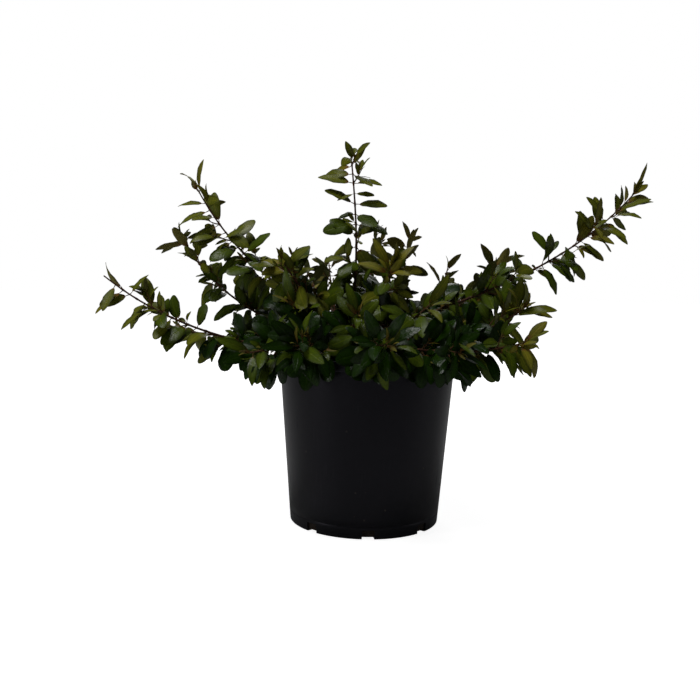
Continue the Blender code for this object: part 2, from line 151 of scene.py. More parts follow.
def ringIndex(points):
    # Corner numbers of points that stand in rings, and the number of each one's neighbour in its ring
    index = np.arange(points[..., 0].size).reshape(points.shape[:-1])
    return index, np.roll(index, -1, axis=-1)


def tubes(paths, radii, sides, reference):
    # Round walls along paths: point = path + radius * (cos(a) * across + sin(a) * up), with flat ends.
    # across is the reference made square to the path. Radii are one to a ring or one to a point.
    along = unit(np.gradient(paths, axis=1))
    level = np.broadcast_to(reference[:, None], along.shape)
    across = unit(level - along * np.sum(along * level, axis=2, keepdims=True))
    up = np.cross(along, across)
    angle = roundAngles(sides)
    ring = across[:, :, None] * np.cos(angle)[:, None] + up[:, :, None] * np.sin(angle)[:, None]
    spread = radii[..., None] if radii.ndim == 3 else radii[:, :, None, None]
    points = paths[:, :, None] + ring * spread
    index, beside = ringIndex(points)
    walls = np.stack([index[:, :-1], beside[:, :-1], beside[:, 1:], index[:, 1:]], axis=-1)
    caps = np.concatenate([index[:, 0, ::-1], index[:, -1]])
    return points.reshape(-1, 3), [walls.reshape(-1, 4), caps]


# Material helpers

def setInputs(tree, node, inputs):
    # A socket is linked, and any other value is set
    for name, value in inputs.items():
        if isinstance(value, bpy.types.NodeSocket):
            tree.links.new(value, node.inputs[name])
        else:
            node.inputs[name].default_value = value


def addNode(tree, kind, inputs=None, **settings):
    node = tree.nodes.new(kind)
    for name, value in settings.items():
        setattr(node, name, value)
    setInputs(tree, node, inputs or {})
    return node


def addMath(tree, operation, *values):
    return addNode(tree, "ShaderNodeMath", dict(enumerate(values)), operation=operation).outputs[0]


def addMix(tree, factor, a, b):
    # Colour a where the factor is 0, colour b where it is 1
    mix = addNode(tree, "ShaderNodeMix", {0: factor, 6: a, 7: b}, data_type="RGBA")
    return mix.outputs[2]


def addRange(tree, value, low, high, toLow=0.0, toHigh=1.0):
    return addNode(tree, "ShaderNodeMapRange", {0: value, 1: low, 2: high, 3: toLow, 4: toHigh},
                   interpolation_type="SMOOTHSTEP").outputs[0]


def addNoise(tree, place, scale, detail):
    noise = addNode(tree, "ShaderNodeTexNoise", {"Vector": place, "Scale": scale, "Detail": detail})
    return noise.outputs[0]


def newGroup(name, inputs, outputs):
    group = bpy.data.node_groups.new(name, "ShaderNodeTree")
    for label, kind, value in inputs:
        socket = group.interface.new_socket(name=label, in_out="INPUT", socket_type=kind)
        socket.default_value = value
    for label, kind in outputs:
        group.interface.new_socket(name=label, in_out="OUTPUT", socket_type=kind)
    return group, group.nodes.new("NodeGroupInput"), group.nodes.new("NodeGroupOutput")


def rgba(colour, share=(1.0, 1.0, 1.0)):
    # A colour with its alpha, each channel times its share
    return (*[channel * factor for channel, factor in zip(colour, share)], 1.0)


def makeMottleGroup():
    # Two colours mixed by soft noise on Object coordinates, and the noise itself as a value
    group, start, end = newGroup(
        "mottle",
        [("Colour", "NodeSocketColor", (0.5, 0.5, 0.5, 1)),
         ("Other", "NodeSocketColor", (0.4, 0.4, 0.4, 1)),
         ("Scale", "NodeSocketFloat", 100.0),
         ("Amount", "NodeSocketFloat", 1.0)],
        [("Colour", "NodeSocketColor"), ("Value", "NodeSocketFloat")])
    place = addNode(group, "ShaderNodeTexCoord")
    noise = addNoise(group, place.outputs["Object"], start.outputs["Scale"], 3.0)
    value = addRange(group, noise, 0.35, 0.65)
    factor = addMath(group, "MULTIPLY", value, start.outputs["Amount"])
    colour = addMix(group, factor, start.outputs["Colour"], start.outputs["Other"])
    setInputs(group, end, {"Colour": colour, "Value": value})
    return group


def makeVeinGroup():
    # Masks on the blade's own map: 1 on the midrib, 1 on side veins that leave it forwards and fade
    # towards the rim, and 1 at the rim itself. Base falls from 1 at the stalk to 0 at the reach.
    group, start, end = newGroup(
        "veins",
        [("Pairs", "NodeSocketFloat", 6.0), ("Slant", "NodeSocketFloat", 3.0),
         ("Reach", "NodeSocketFloat", 0.5)],
        [("Midrib", "NodeSocketFloat"), ("Side", "NodeSocketFloat"), ("Rim", "NodeSocketFloat"),
         ("Base", "NodeSocketFloat")])
    blade = addNode(group, "ShaderNodeUVMap", uv_map="blade")
    axes = addNode(group, "ShaderNodeSeparateXYZ", {0: blade.outputs[0]})
    off = addMath(group, "ABSOLUTE", addMath(group, "SUBTRACT", axes.outputs[0], 0.5))
    midrib = addRange(group, off, 0.012, 0.05, 1.0, 0.0)
    phase = addMath(group, "SUBTRACT", addMath(group, "MULTIPLY", axes.outputs[1], start.outputs["Pairs"]),
                    addMath(group, "MULTIPLY", off, start.outputs["Slant"]))
    saw = addMath(group, "ABSOLUTE", addMath(group, "SUBTRACT", addMath(group, "FRACT", phase), 0.5))
    line = addRange(group, saw, 0.0, 0.14, 1.0, 0.0)
    fade = addRange(group, off, 0.28, 0.46, 1.0, 0.0)
    base = addRange(group, axes.outputs[1], 0.0, start.outputs["Reach"], 1.0, 0.0)
    setInputs(group, end, {"Midrib": midrib, "Side": addMath(group, "MULTIPLY", line, fade),
                           "Rim": addRange(group, off, 0.26, 0.5), "Base": base})
    return group


mottleGroup = makeMottleGroup()
veinGroup = makeVeinGroup()


def newMaterial(name):
    material = bpy.data.materials.new(name)
    material.use_nodes = True
    tree = material.node_tree
    return material, tree, tree.nodes["Principled BSDF"]


def addGroup(tree, group, inputs):
    return addNode(tree, "ShaderNodeGroup", inputs, node_tree=group)


def addBump(tree, height, strength, distance, under=None):
    inputs = {"Height": height, "Strength": strength, "Distance": distance}
    if under is not None:
        inputs["Normal"] = under
    return addNode(tree, "ShaderNodeBump", inputs).outputs[0]


def makeMottled(name, colour, other, scale, rough, specular, relief, depth):
    # A rough surface in two colours, whose bumps follow the same noise
    material, tree, shader = newMaterial(name)
    tone = addGroup(tree, mottleGroup, {"Colour": rgba(colour), "Other": rgba(other),
                                        "Scale": scale, "Amount": 0.9})
    setInputs(tree, shader, {"Base Color": tone.outputs["Colour"], "Roughness": rough,
                             "Specular IOR Level": specular,
                             "Normal": addBump(tree, tone.outputs["Value"], relief, depth)})
    return material


# The pot

potSettings = {
    "wall": 1.6 * mm,
    "floor": 2.0 * mm,
    "baseRadius": 84.3 * mm,
    "collarHeight": 10.5 * mm,
    "collarStep": 0.7 * mm,
    "slots": 8,
    "slotTurn": 2.5,          # degrees
    "slotWidth": 13.5 * mm,
    "slotTop": 10 * mm,
    "slotStart": 71 * mm,
    "slotColumns": 3,
    "wallColumns": 12,        # between two slots
    "cornerRound": 1.3 * mm,
    "poleRadius": 5 * mm,
    "line": 13.2 * mm,        # height of the fine moulded line above the slots
    "lineDepth": 0.22 * mm,
    "lineGap": 8 * mm,        # from the line to the first row of the plain wall
    "wallRows": 9,
    "floorRing": 6 * mm,      # past the slots' start, and the height of the first row of the wall
    "collarFlare": 0.25 * mm,
    "collarRest": 4 * mm,
    "arcSteps": 5,
    "lipArc": (20, 160, 6),   # degrees, and its rows
    "sharp": 40,              # degrees
    "bevelFrom": 60,          # degrees
    "edgeRound": 0.22 * mm,
    "colour": (0.0038, 0.0041, 0.0042),
    "sheen": (0.87, 0.83, 1.0),
    "scuffColour": (0.018, 0.018, 0.021),
    "dustColour": (0.060, 0.052, 0.042),
}
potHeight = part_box("pot")[1].z
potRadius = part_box("pot")[1].x


def wallRadius(height):
    top = potRadius - potSettings["collarStep"]
    return potSettings["baseRadius"] + (top - potSettings["baseRadius"]) * height / potHeight


def arcRows(centre, radius, fromAngle, toAngle, count):
    angles = np.radians(np.linspace(fromAngle, toAngle, count))
    return np.stack([centre[0] + radius * np.cos(angles), centre[1] + radius * np.sin(angles)], axis=1)


def potRows():
    # Matching (radius, height) rows of the outer and the inner skin, from the floor's middle to the lip
    s = potSettings
    wall = s["wall"]
    collar = potHeight - s["collarHeight"]
    lip = wall / 2
    flat = [s["poleRadius"], s["slotStart"] / 2, s["slotStart"], s["slotStart"] + s["floorRing"]]
    outerRound = s["cornerRound"]
    outerAxis = wallRadius(outerRound) - outerRound
    outerCorner = arcRows((outerAxis, outerRound), outerRound, -90, 0, s["arcSteps"])
    innerRound = outerRound / 2
    innerAxis = wallRadius(s["floor"]) - wall - innerRound
    innerCorner = arcRows((innerAxis, s["floor"] + innerRound), innerRound, -90, 0, s["arcSteps"])
    line = s["line"]
    step = s["lineDepth"]
    heights = [s["floorRing"], s["slotTop"], line - 2 * step, line, line + 2 * step]
    heights += list(np.linspace(line + s["lineGap"], collar - 1 * mm, s["wallRows"]))
    outer = [(r, 0) for r in flat] + [tuple(row) for row in outerCorner]
    inner = [(r, s["floor"]) for r in flat] + [tuple(row) for row in innerCorner]
    for height in heights:
        outer.append((wallRadius(height) - (step if height == line else 0), height))
        inner.append((wallRadius(height) - wall, height))
    out = s["collarStep"]
    for height, bulge in ((collar, 0), (collar + s["collarFlare"], 0.75 * out), (collar + out, out),
                          (collar + s["collarRest"], out), (potHeight - lip, out)):
        outer.append((wallRadius(height) + bulge, height))
        inner.append((wallRadius(height) - wall, height))
    return np.array(outer), np.array(inner)


def potColumns():
    # Angles round the pot, with columns on the slots' edges, and which columns lie in a slot
    s = potSettings
    half = math.asin(s["slotWidth"] / 2 / s["baseRadius"])
    sector = 2 * math.pi / s["slots"]
    inSlot = np.linspace(-half, half, s["slotColumns"] + 1)[:-1]
    between = np.linspace(half, sector - half, s["wallColumns"] + 1)[:-1]
    one = np.concatenate([inSlot, between])
    angles = (one[None] + np.arange(s["slots"])[:, None] * sector).ravel()
    cut = np.tile(np.arange(len(one)) < s["slotColumns"], s["slots"])
    return angles + math.radians(s["slotTurn"] - 90), cut


def makePot(material):
    # Both skins are rows turned round +Z. In a slot's columns they are left open and joined by walls.
    s = potSettings
    outer, inner = potRows()
    angles, cut = potColumns()
    lip = s["wall"] / 2
    lipAxis = (outer[-1, 0] + inner[-1, 0]) / 2
    lipWidth = outer[-1, 0] - inner[-1, 0]
    top = arcRows((lipAxis, outer[-1, 1]), lipWidth / 2, *s["lipArc"])
    top[:, 1] = outer[-1, 1] + (top[:, 1] - outer[-1, 1]) * lip / lipWidth * 2
    rows = np.concatenate([outer, top, inner[::-1]])
    points = np.stack([rows[:, :1] * np.cos(angles), rows[:, :1] * np.sin(angles),
                       np.repeat(rows[:, 1:], len(angles), axis=1)], axis=2)
    index, beside = ringIndex(points)
    skin = np.stack([index[:-1], beside[:-1], beside[1:], index[1:]], axis=-1)
    first = int(np.argmin(np.abs(outer[:, 0] - s["slotStart"])))
    last = int(np.argmin(np.abs(outer[:, 1] - s["slotTop"])))
    kept = np.ones(skin.shape[:2], bool)
    kept[first:last, cut] = False
    mirror = len(rows) - 1
    kept[mirror - last:mirror - first, cut] = False
    walls = [skin[kept]]
    for row in (first, last):
        walls.append(np.stack([index[row, cut], beside[row, cut],
                               beside[mirror - row, cut], index[mirror - row, cut]], axis=-1))
    edges = np.flatnonzero(cut != np.roll(cut, 1))
    for row in range(first, last):
        walls.append(np.stack([index[row, edges], index[row + 1, edges],
                               index[mirror - row - 1, edges], index[mirror - row, edges]], axis=-1))
    caps = np.stack([index[0], index[-1]])
    mesh = makeMesh("nurseryPot", points.reshape(-1, 3), [np.concatenate(walls), caps], [material])
    bm = bmesh.new()
    bm.from_mesh(mesh)
    bmesh.ops.recalc_face_normals(bm, faces=bm.faces)
    bm.to_mesh(mesh)
    bm.free()
    mesh.set_sharp_from_angle(angle=math.radians(s["sharp"]))
    piece = addPiece(mesh, ["pot"])
    bevel = piece.modifiers.new("softEdges", "BEVEL")
    bevel.width = s["edgeRound"]
    bevel.segments = 2
    bevel.limit_method = "ANGLE"
    bevel.angle_limit = math.radians(s["bevelFrom"])
    return piece


def makePlastic():
    # Black plastic with faint upright scuffs and dried specks of mix, more of them low down
    s = potSettings
    material, tree, shader = newMaterial("blackPlastic")
    place = addNode(tree, "ShaderNodeTexCoord").outputs["Object"]
    stretch = addNode(tree, "ShaderNodeMapping", {"Vector": place, "Scale": (1, 1, 0.06)})
    scratch = addNoise(tree, stretch.outputs[0], 420.0, 4.0)
    broad = addNoise(tree, place, 22.0, 2.0)
    worn = addMath(tree, "MULTIPLY", addRange(tree, scratch, 0.56, 0.74),
                   addRange(tree, broad, 0.42, 0.66))
    height = addNode(tree, "ShaderNodeSeparateXYZ", {0: place}).outputs[2]
    low = addRange(tree, height, 0.02, potHeight, 1.0, 0.25)
    cells = addNode(tree, "ShaderNodeTexVoronoi", {"Vector": place, "Scale": 95.0})
    speck = addRange(tree, cells.outputs["Distance"], 0.05, 0.15, 1.0, 0.0)
    chance = addNode(tree, "ShaderNodeSeparateColor", {0: cells.outputs["Color"]}).outputs[0]
    chosen = addRange(tree, chance, 0.80, 0.84)
    dust = addMath(tree, "MULTIPLY", addMath(tree, "MULTIPLY", speck, chosen), low)
    film = addGroup(tree, mottleGroup, {"Colour": rgba(s["colour"]), "Other": rgba(s["scuffColour"]),
                                        "Scale": 9.0, "Amount": 0.16})
    scuffed = addMix(tree, addMath(tree, "MULTIPLY", worn, 0.5), film.outputs["Colour"],
                     rgba(s["scuffColour"]))
    coloured = addMix(tree, addMath(tree, "MULTIPLY", dust, 0.6), scuffed, rgba(s["dustColour"]))
    rough = addRange(tree, addMath(tree, "ADD", worn, dust), 0.0, 1.0, 0.34, 0.60)
    wavy = addBump(tree, addNoise(tree, place, 26.0, 1.0), 0.25, 0.4 * mm)
    grainy = addBump(tree, addNoise(tree, place, 1400.0, 2.0), 0.12, 0.08 * mm, wavy)
    setInputs(tree, shader, {"Base Color": coloured, "Roughness": rough, "Normal": grainy,
                             "Specular IOR Level": 0.22, "Specular Tint": rgba(s["sheen"])})
    return material


makePot(makePlastic())


# The potting mix

mixSettings = {
    "wallGap": 1.9 * mm,      # from the pot's outside to the plug
    "rows": 46,
    "columns": 110,
    "lumps": 1.3 * mm,
    "lumpWaves": (24, 180, 900),   # count, lowest and highest in radians to a metre
    "edgeDrop": 2.0 * mm,
    "wallRings": 24,
    "wallRough": 0.25 * mm,
    "wallWaves": (16, 60, 500),
    "seed": 71,
    "chips": 1500,
    "chipInset": 4 * mm,
    "chipTilt": 0.28,
    "chipLength": (3.0 * mm, 11 * mm),
    "chipSides": 6,
    "slotChips": 5,           # behind each slot
    "slotChipLength": 4.5 * mm,
    "slotChipHeights": (4.5, 9),   # mm
    "slotChipInset": 2.2 * mm,
    "chipShares": (0.5, 0.35, 0.15),
    "rough": 0.92,
}
mixTones = {
    "dampMix": dict(colour=(0.014, 0.009, 0.006), other=(0.032, 0.020, 0.012)),
    "darkBark": dict(colour=(0.020, 0.012, 0.008)),
    "brownBark": dict(colour=(0.045, 0.026, 0.015)),
    "paleBark": dict(colour=(0.085, 0.054, 0.032)),
}
mixLow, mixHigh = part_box("potting_mix")


def waves(rng, count, lowest, highest):
    # Directions, frequencies and phases of a sum of cosines, as one smooth noise field
    turn = rng.uniform(0, 2 * np.pi, count)
    pitch = rng.uniform(lowest, highest, count)
    return np.cos(turn) * pitch, np.sin(turn) * pitch, rng.uniform(0, 2 * np.pi, count)


def waveField(field, x, y):
    # Mean of cos(kx * x + ky * y + phase), scaled to run from about -1 to 1
    kx, ky, phase = field
    return np.cos(x[..., None] * kx + y[..., None] * ky + phase).mean(axis=-1) * math.sqrt(len(kx))


def makeMixPlug(material):
    # A disc of rings whose height is the top less its lumps, then the plug's wall and foot
    s = mixSettings
    rng = np.random.default_rng(s["seed"])
    topRadius = wallRadius(mixHigh.z) - s["wallGap"]
    footRadius = wallRadius(mixLow.z) - s["wallGap"]
    share = np.linspace(0.02, 1, s["rows"])
    angles = roundAngles(s["columns"])
    x = share[:, None] * topRadius * np.cos(angles)
    y = share[:, None] * topRadius * np.sin(angles)
    lumps = waveField(waves(rng, *s["lumpWaves"]), x, y) * s["lumps"]
    z = mixHigh.z - s["lumps"] * 0.6 + np.minimum(lumps, s["lumps"]) - s["edgeDrop"] * share[:, None] ** 8
    top = np.stack([x, y, z], axis=2)
    heights = np.linspace(mixHigh.z - s["edgeDrop"] * 2, mixLow.z, s["wallRings"])
    radii = footRadius + (topRadius - footRadius) * (heights - mixLow.z) / (mixHigh.z - mixLow.z)
    field = waves(rng, *s["wallWaves"])
    rough = waveField(field, angles[None] * topRadius, heights[:, None]) * s["wallRough"]
    wallRadii = radii[:, None] - s["wallRough"] + np.minimum(rough, s["wallRough"])
    wall = np.stack([wallRadii * np.cos(angles), wallRadii * np.sin(angles),
                     np.repeat(heights[:, None], len(angles), axis=1)], axis=2)
    points = np.concatenate([top, wall])
    index, beside = ringIndex(points)
    skin = np.stack([index[:-1], index[1:], beside[1:], beside[:-1]], axis=-1).reshape(-1, 4)
    caps = np.stack([index[0], index[-1, ::-1]])
    mesh = makeMesh("pottingMix", points.reshape(-1, 3), [skin, caps], [material])
    return addPiece(mesh, ["potting_mix"])


def chipPlaces(rng):
    # Chips lie nearly flat on the mix, and a few stand behind each slot
    s = mixSettings
    count = s["chips"]
    radius = (wallRadius(mixHigh.z) - s["wallGap"] - s["chipInset"]) * np.sqrt(rng.uniform(0.002, 1, count))
    angle = rng.uniform(0, 2 * np.pi, count)
    top = np.stack([radius * np.cos(angle), radius * np.sin(angle),
                    mixHigh.z + rng.uniform(-1.6, 0.4, count) * mm], axis=1)
    tilt = [rng.normal(0, s["chipTilt"], count), rng.normal(0, s["chipTilt"], count)]
    up = unit(np.stack([*tilt, np.ones(count)], axis=1))
    angles, cut = potColumns()
    middle = angles[cut].reshape(potSettings["slots"], -1)[:, 1:2]
    side = (middle + rng.uniform(-0.07, 0.07, (potSettings["slots"], s["slotChips"]))).ravel()
    height = rng.uniform(*s["slotChipHeights"], side.size) * mm
    reach = wallRadius(height) - s["wallGap"] - s["slotChipInset"]
    low = np.stack([reach * np.cos(side), reach * np.sin(side), height], axis=1)
    out = unit(np.stack([np.cos(side), np.sin(side), rng.normal(0, 0.3, side.size)], axis=1))
    return np.concatenate([top, low]), np.concatenate([up, out])


def makeChips(materials):
    # Each chip is a flat prism on an uneven ring: point = place + a * grain + b * short, and half the
    # thickness up or down
    s = mixSettings
    rng = np.random.default_rng(s["seed"] + 1)
    place, up = chipPlaces(rng)
    count = len(place)
    spin = rng.normal(0, 1, (count, 3))
    grain = unit(spin - up * np.sum(spin * up, axis=1, keepdims=True))
    short = np.cross(up, grain)
    length = s["chipLength"][0] + (s["chipLength"][1] - s["chipLength"][0]) * rng.random(count) ** 2.2
    length[s["chips"]:] = s["slotChipLength"]
    width = length * rng.uniform(0.35, 0.7, count)
    thick = np.clip(length * rng.uniform(0.12, 0.3, count), 0.6 * mm, 1.8 * mm)
    angle = roundAngles(s["chipSides"])
    uneven = rng.uniform(0.72, 1.1, (count, s["chipSides"]))
    a = (length / 2)[:, None] * np.cos(angle) * uneven
    b = (width / 2)[:, None] * np.sin(angle) * uneven
    ring = place[:, None] + grain[:, None] * a[..., None] + short[:, None] * b[..., None]
    lift = up[:, None] * (thick / 2)[:, None, None]
    slope = 1 + rng.uniform(-0.5, 0.5, (count, s["chipSides"], 1))
    points = np.stack([ring - lift, ring + lift * slope], axis=1)
    index, beside = ringIndex(points)
    walls = np.stack([index[:, 0], beside[:, 0], beside[:, 1], index[:, 1]], axis=-1)
    caps = np.concatenate([index[:, 0, ::-1], index[:, 1]])
    tone = rng.choice(len(materials), count, p=s["chipShares"])
    slots = np.concatenate([np.repeat(tone, s["chipSides"]), tone, tone])
    mesh = makeMesh("barkChips", points.reshape(-1, 3), [walls.reshape(-1, 4), caps], materials, slots,
                    sharpAngle=30)
    return addPiece(mesh, ["potting_mix"])


def makeMixMaterials():
    # Bark without a second colour gets a darker one
    made = []
    for name, tone in mixTones.items():
        colour = tone["colour"]
        other = tone.get("other", [channel * 0.55 for channel in colour])
        made.append(makeMottled(name, colour, other, 650.0, mixSettings["rough"], 0.5, 0.7, 0.5 * mm))
    return made


dampMix, *chipBarks = makeMixMaterials()
makeMixPlug(dampMix)
makeChips(chipBarks)


# How the plant grows: the same rule as the solids, with the same draws, then finer growth on it

# Each shoot: its tip in mm, height of its foot on the main stem in mm, steepness at its foot and at its
# tip in degrees, length of its bare bough in mm, first gap between leaf pairs in mm, turn of the first
# pair in degrees, length of its largest leaf and of its longest twig in mm, the seed that draws what
# the solids have too, and the look that draws the finer growth.
shoots = {
    "leader": dict(tip=(-24, 0, 418), foot=46, rise=100, lift=83, bare=24, step=28, turn=75,
                   leaf=33, twig=27, seed=442, look=513),
    "left_low": dict(tip=(-281, -60, 272), foot=13, rise=5, lift=39, bare=78, step=26, turn=165,
                     leaf=33, twig=32, seed=42, look=485),
    "left_lower": dict(tip=(-211, 10, 210), foot=7, rise=10, lift=5, bare=81, step=28, turn=120,
                       leaf=37, twig=24, seed=12, look=234),
    "left_middle": dict(tip=(-222, 45, 323), foot=20, rise=16, lift=63, bare=78, step=25, turn=165,
                        leaf=32, twig=26, seed=767, look=840),
    "left_high": dict(tip=(-195, 10, 370), foot=29, rise=38, lift=61, bare=70, step=28, turn=130,
                      leaf=38, twig=28, seed=545, look=576),
    "left_rosette": dict(tip=(-92, -45, 292), foot=39, rise=50, lift=65, bare=43, step=21, turn=95,
                         leaf=36, twig=26, seed=840, look=257),
    "left_near": dict(tip=(-122, -95, 197), foot=17, rise=18, lift=-6, bare=56, step=22, turn=165,
                      leaf=43, twig=30, seed=727, look=541),
    "front_left": dict(tip=(-71, -135, 209), foot=11, rise=16, lift=10, bare=66, step=17, turn=5,
                       leaf=40, twig=22, seed=821, look=613),
    "front": dict(tip=(15, -150, 214), foot=6, rise=16, lift=14, bare=74, step=18, turn=115,
                  leaf=44, twig=22, seed=555, look=898),
    "front_right": dict(tip=(87, -125, 205), foot=14, rise=16, lift=2, bare=74, step=20, turn=175,
                        leaf=41, twig=26, seed=548, look=944),
    "right_near": dict(tip=(169, -95, 216), foot=8, rise=12, lift=18, bare=92, step=29, turn=80,
                       leaf=37, twig=24, seed=813, look=633),
    "right_low": dict(tip=(164, -50, 246), foot=19, rise=14, lift=40, bare=74, step=27, turn=125,
                      leaf=43, twig=31, seed=54, look=922),
    "right_high": dict(tip=(301, 25, 377), foot=26, rise=24, lift=49, bare=92, step=24, turn=115,
                       leaf=39, twig=29, seed=993, look=581),
    "right_top": dict(tip=(153, 70, 294), foot=32, rise=28, lift=76, bare=75, step=27, turn=65,
                      leaf=33, twig=30, seed=526, look=280),
    "right_back": dict(tip=(135, 130, 250), foot=13, rise=20, lift=25, bare=79, step=27, turn=155,
                       leaf=44, twig=28, seed=605, look=58),
    "back_right": dict(tip=(105, 150, 288), foot=21, rise=26, lift=70, bare=74, step=25, turn=65,
                       leaf=30, twig=28, seed=16, look=581),
    "back_middle": dict(tip=(53, 130, 325), foot=27, rise=36, lift=76, bare=60, step=25, turn=30,
                        leaf=30, twig=24, seed=26, look=824),
    "back": dict(tip=(12, 185, 333), foot=16, rise=30, lift=62, bare=74, step=27, turn=85,
                 leaf=32, twig=28, seed=32, look=923),
    "back_left": dict(tip=(-51, 190, 296), foot=9, rise=26, lift=51, bare=79, step=26, turn=50,
                      leaf=33, twig=28, seed=366, look=849),
    "left_behind": dict(tip=(-82, 130, 298), foot=36, rise=40, lift=57, bare=69, step=25, turn=125,
                        leaf=32, twig=22, seed=81, look=179),
    "left_back": dict(tip=(-142, 120, 254), foot=15, rise=20, lift=40, bare=73, step=22, turn=55,
                      leaf=42, twig=30, seed=506, look=297),
    "inner_right": dict(tip=(23, -35, 287), foot=37, rise=50, lift=83, bare=34, step=19, turn=160,
                        leaf=34, twig=22, seed=46, look=433),
    "inner_left": dict(tip=(-80, -62, 244), foot=27, rise=34, lift=44, bare=36, step=17, turn=25,
                       leaf=44, twig=22, seed=711, look=761),
    "inner_front": dict(tip=(-12, -88, 238), foot=20, rise=34, lift=40, bare=38, step=22, turn=55,
                        leaf=36, twig=22, seed=408, look=989),
    "inner_near": dict(tip=(62, -70, 248), foot=28, rise=30, lift=40, bare=44, step=19, turn=65,
                       leaf=44, twig=28, seed=940, look=617),
    "inner_back": dict(tip=(44, 62, 268), foot=39, rise=36, lift=56, bare=40, step=18, turn=155,
                       leaf=28, twig=22, seed=789, look=91),
    "inner_behind": dict(tip=(-66, 66, 262), foot=27, rise=40, lift=56, bare=36, step=23, turn=165,
                         leaf=29, twig=24, seed=834, look=925),
}
growth = {
    "handle": 0.36,
    "lineSteps": 48,
    "leafWidth": 0.52,
    "youngWidth": 0.40,
    "leafSpread": 68,          # degrees
    "youngSpread": 50,
    "tipSpread": 36,
    "spreadJitter": 15,
    "turnJitter": 18,
    "rollJitter": 28,
    "sizeJitter": 0.18,
    "droop": 0.55,
    "tipShrink": 0.22,
    "firstNode": 0.4,
    "lastNode": 11 * mm,
    "crowding": 0.6,
    "nodeJitter": 0.16,
    "tipGap": 4 * mm,
    "twigSpread": 42,
    "twigShrink": 0.4,
    "twigLeast": 0.3,
    "twigLeaf": 0.56,
    "twigRise": 0.25,
    "strongTwig": 0.80,        # a twig with leaves all along
    "weakTwig": 0.34,          # below it, only a tuft stands in the axil
    "twigYouth": 0.35,         # of the twigs on the oldest wood
    "betweenLeaf": 0.85,
    "betweenTurn": 45,
    "twigPairs": (0.28, 0.62), # how far along a twig its lower and upper pair stand
    "pairGap": 1.5 * mm,       # between the pairs of a bud or a tuft
    "tuftGap": 2.5 * mm,
    "tipBud": 0.9,             # a bud's size, as a share of the leaf below it
    "twigBud": 0.85,
}
# Finer pairs: length as a share of the twig's leaf, width as a share of that length, spread in degrees,
# droop, and by how much they are older than the twig's tip
pairForms = {
    "budOuter": (0.62, 0.36, 26, 0, 0),
    "budInner": (0.36, 0.34, 14, 0, 0),
    "twigUpper": (0.92, 0.44, 52, 0.1, 0.1),
    "twigLower": (0.85, 0.46, 56, 0.2, 0.2),
    "tuftOuter": (0.62, 0.40, 34, 0, 0),
    "tuftInner": (0.4, 0.36, 20, 0, 0),
}
stemSettings = {
    "foot": Vector((-24 * mm, 0, 172.3 * mm)),
    "height": 46 * mm,
    "lean": Vector((2.5 * mm, 1.0 * mm, 0)),
}


def bearing(azimuth, elevation):
    flat = math.cos(elevation)
    return Vector((flat * math.cos(azimuth), flat * math.sin(azimuth), math.sin(elevation)))


def stemAxis(height):
    share = height / stemSettings["height"]
    return stemSettings["foot"] + stemSettings["lean"] * share * share + Vector((0, 0, height))


class Line:
    # A smooth line through points, read by the length along it
    def __init__(self, points):
        self.points = points
        steps = np.linalg.norm(np.diff(points, axis=0), axis=1)
        self.marks = np.concatenate([[0], np.cumsum(steps)])
        self.length = float(self.marks[-1])

    def at(self, distance):
        return Vector(self.many(np.array([distance]))[0])

    def heading(self, distance):
        step = min(int(np.searchsorted(self.marks[1:], distance)), len(self.points) - 2)
        return Vector(self.points[step + 1] - self.points[step]).normalized()

    def many(self, distances):
        columns = [np.interp(distances, self.marks, self.points[:, axis]) for axis in range(3)]
        return np.stack(columns, axis=1)


def shootLine(shoot):
    # A cubic curve from the main stem's axis to the shoot's tip, and the level way across it
    foot = stemAxis(shoot["foot"] * mm)
    tip = Vector(shoot["tip"]) * mm
    azimuth = math.atan2(tip.y - foot.y, tip.x - foot.x)
    reach = (tip - foot).length * growth["handle"]
    near = foot + bearing(azimuth, math.radians(shoot["rise"])) * reach
    far = tip - bearing(azimuth, math.radians(shoot["lift"])) * reach
    t = np.linspace(0, 1, growth["lineSteps"] + 1)[:, None]
    points = (np.array(foot) * (1 - t) ** 3 + np.array(near) * 3 * t * (1 - t) ** 2
              + np.array(far) * 3 * t * t * (1 - t) + np.array(tip) * t ** 3)
    return Line(points), Vector((-math.sin(azimuth), math.cos(azimuth), 0))


def growLeaf(draw, foot, heading, outward, length, width, spread, droop):
    opening = math.radians(spread + draw.uniform(-1, 1) * growth["spreadJitter"])
    roll = math.radians(draw.uniform(-1, 1) * growth["rollJitter"])
    size = length * draw.uniform(1 - growth["sizeJitter"], 1 + growth["sizeJitter"])
    way = heading * math.cos(opening) + outward * math.sin(opening)
    way.z -= droop * (1 - outward.z) / 2
    way.normalize()
    face = (heading - way * heading.dot(way)).normalized()
    face = face * math.cos(roll) + way.cross(face) * math.sin(roll)
    return dict(foot=foot, way=way, face=face, length=size, width=size * width)


def growPair(draw, foot, heading, outward, length, width, spread, droop, youth, rank):
    # Two opposite leaves. Youth is 0 on the oldest wood and 1 at a tip. Rank 0 is on a shoot, 1 on a
    # twig and 2 in a bud.
    pair = []
    for sign in (1, -1):
        leaf = growLeaf(draw, foot, heading, outward * sign, length, width, spread, droop)
        pair.append(leaf | dict(youth=youth, rank=rank, stem=heading))
    return pair


def growFine(fine, form, foot, heading, outward, leaf, youth, rank):
    length, width, spread, droop, older = pairForms[form]
    return growPair(fine, foot, heading, outward, leaf * length, width, spread, droop, youth - older, rank)


def growBud(fine, tip, heading, side, leaf, youth):
    # Two small pairs that close over a tip, a quarter turn apart
    across = heading.cross(side).normalized()
    outer = growFine(fine, "budOuter", tip - heading * growth["pairGap"], heading, across, leaf, youth, 2)
    return outer + growFine(fine, "budInner", tip, heading, side, leaf, 1.0, 2)


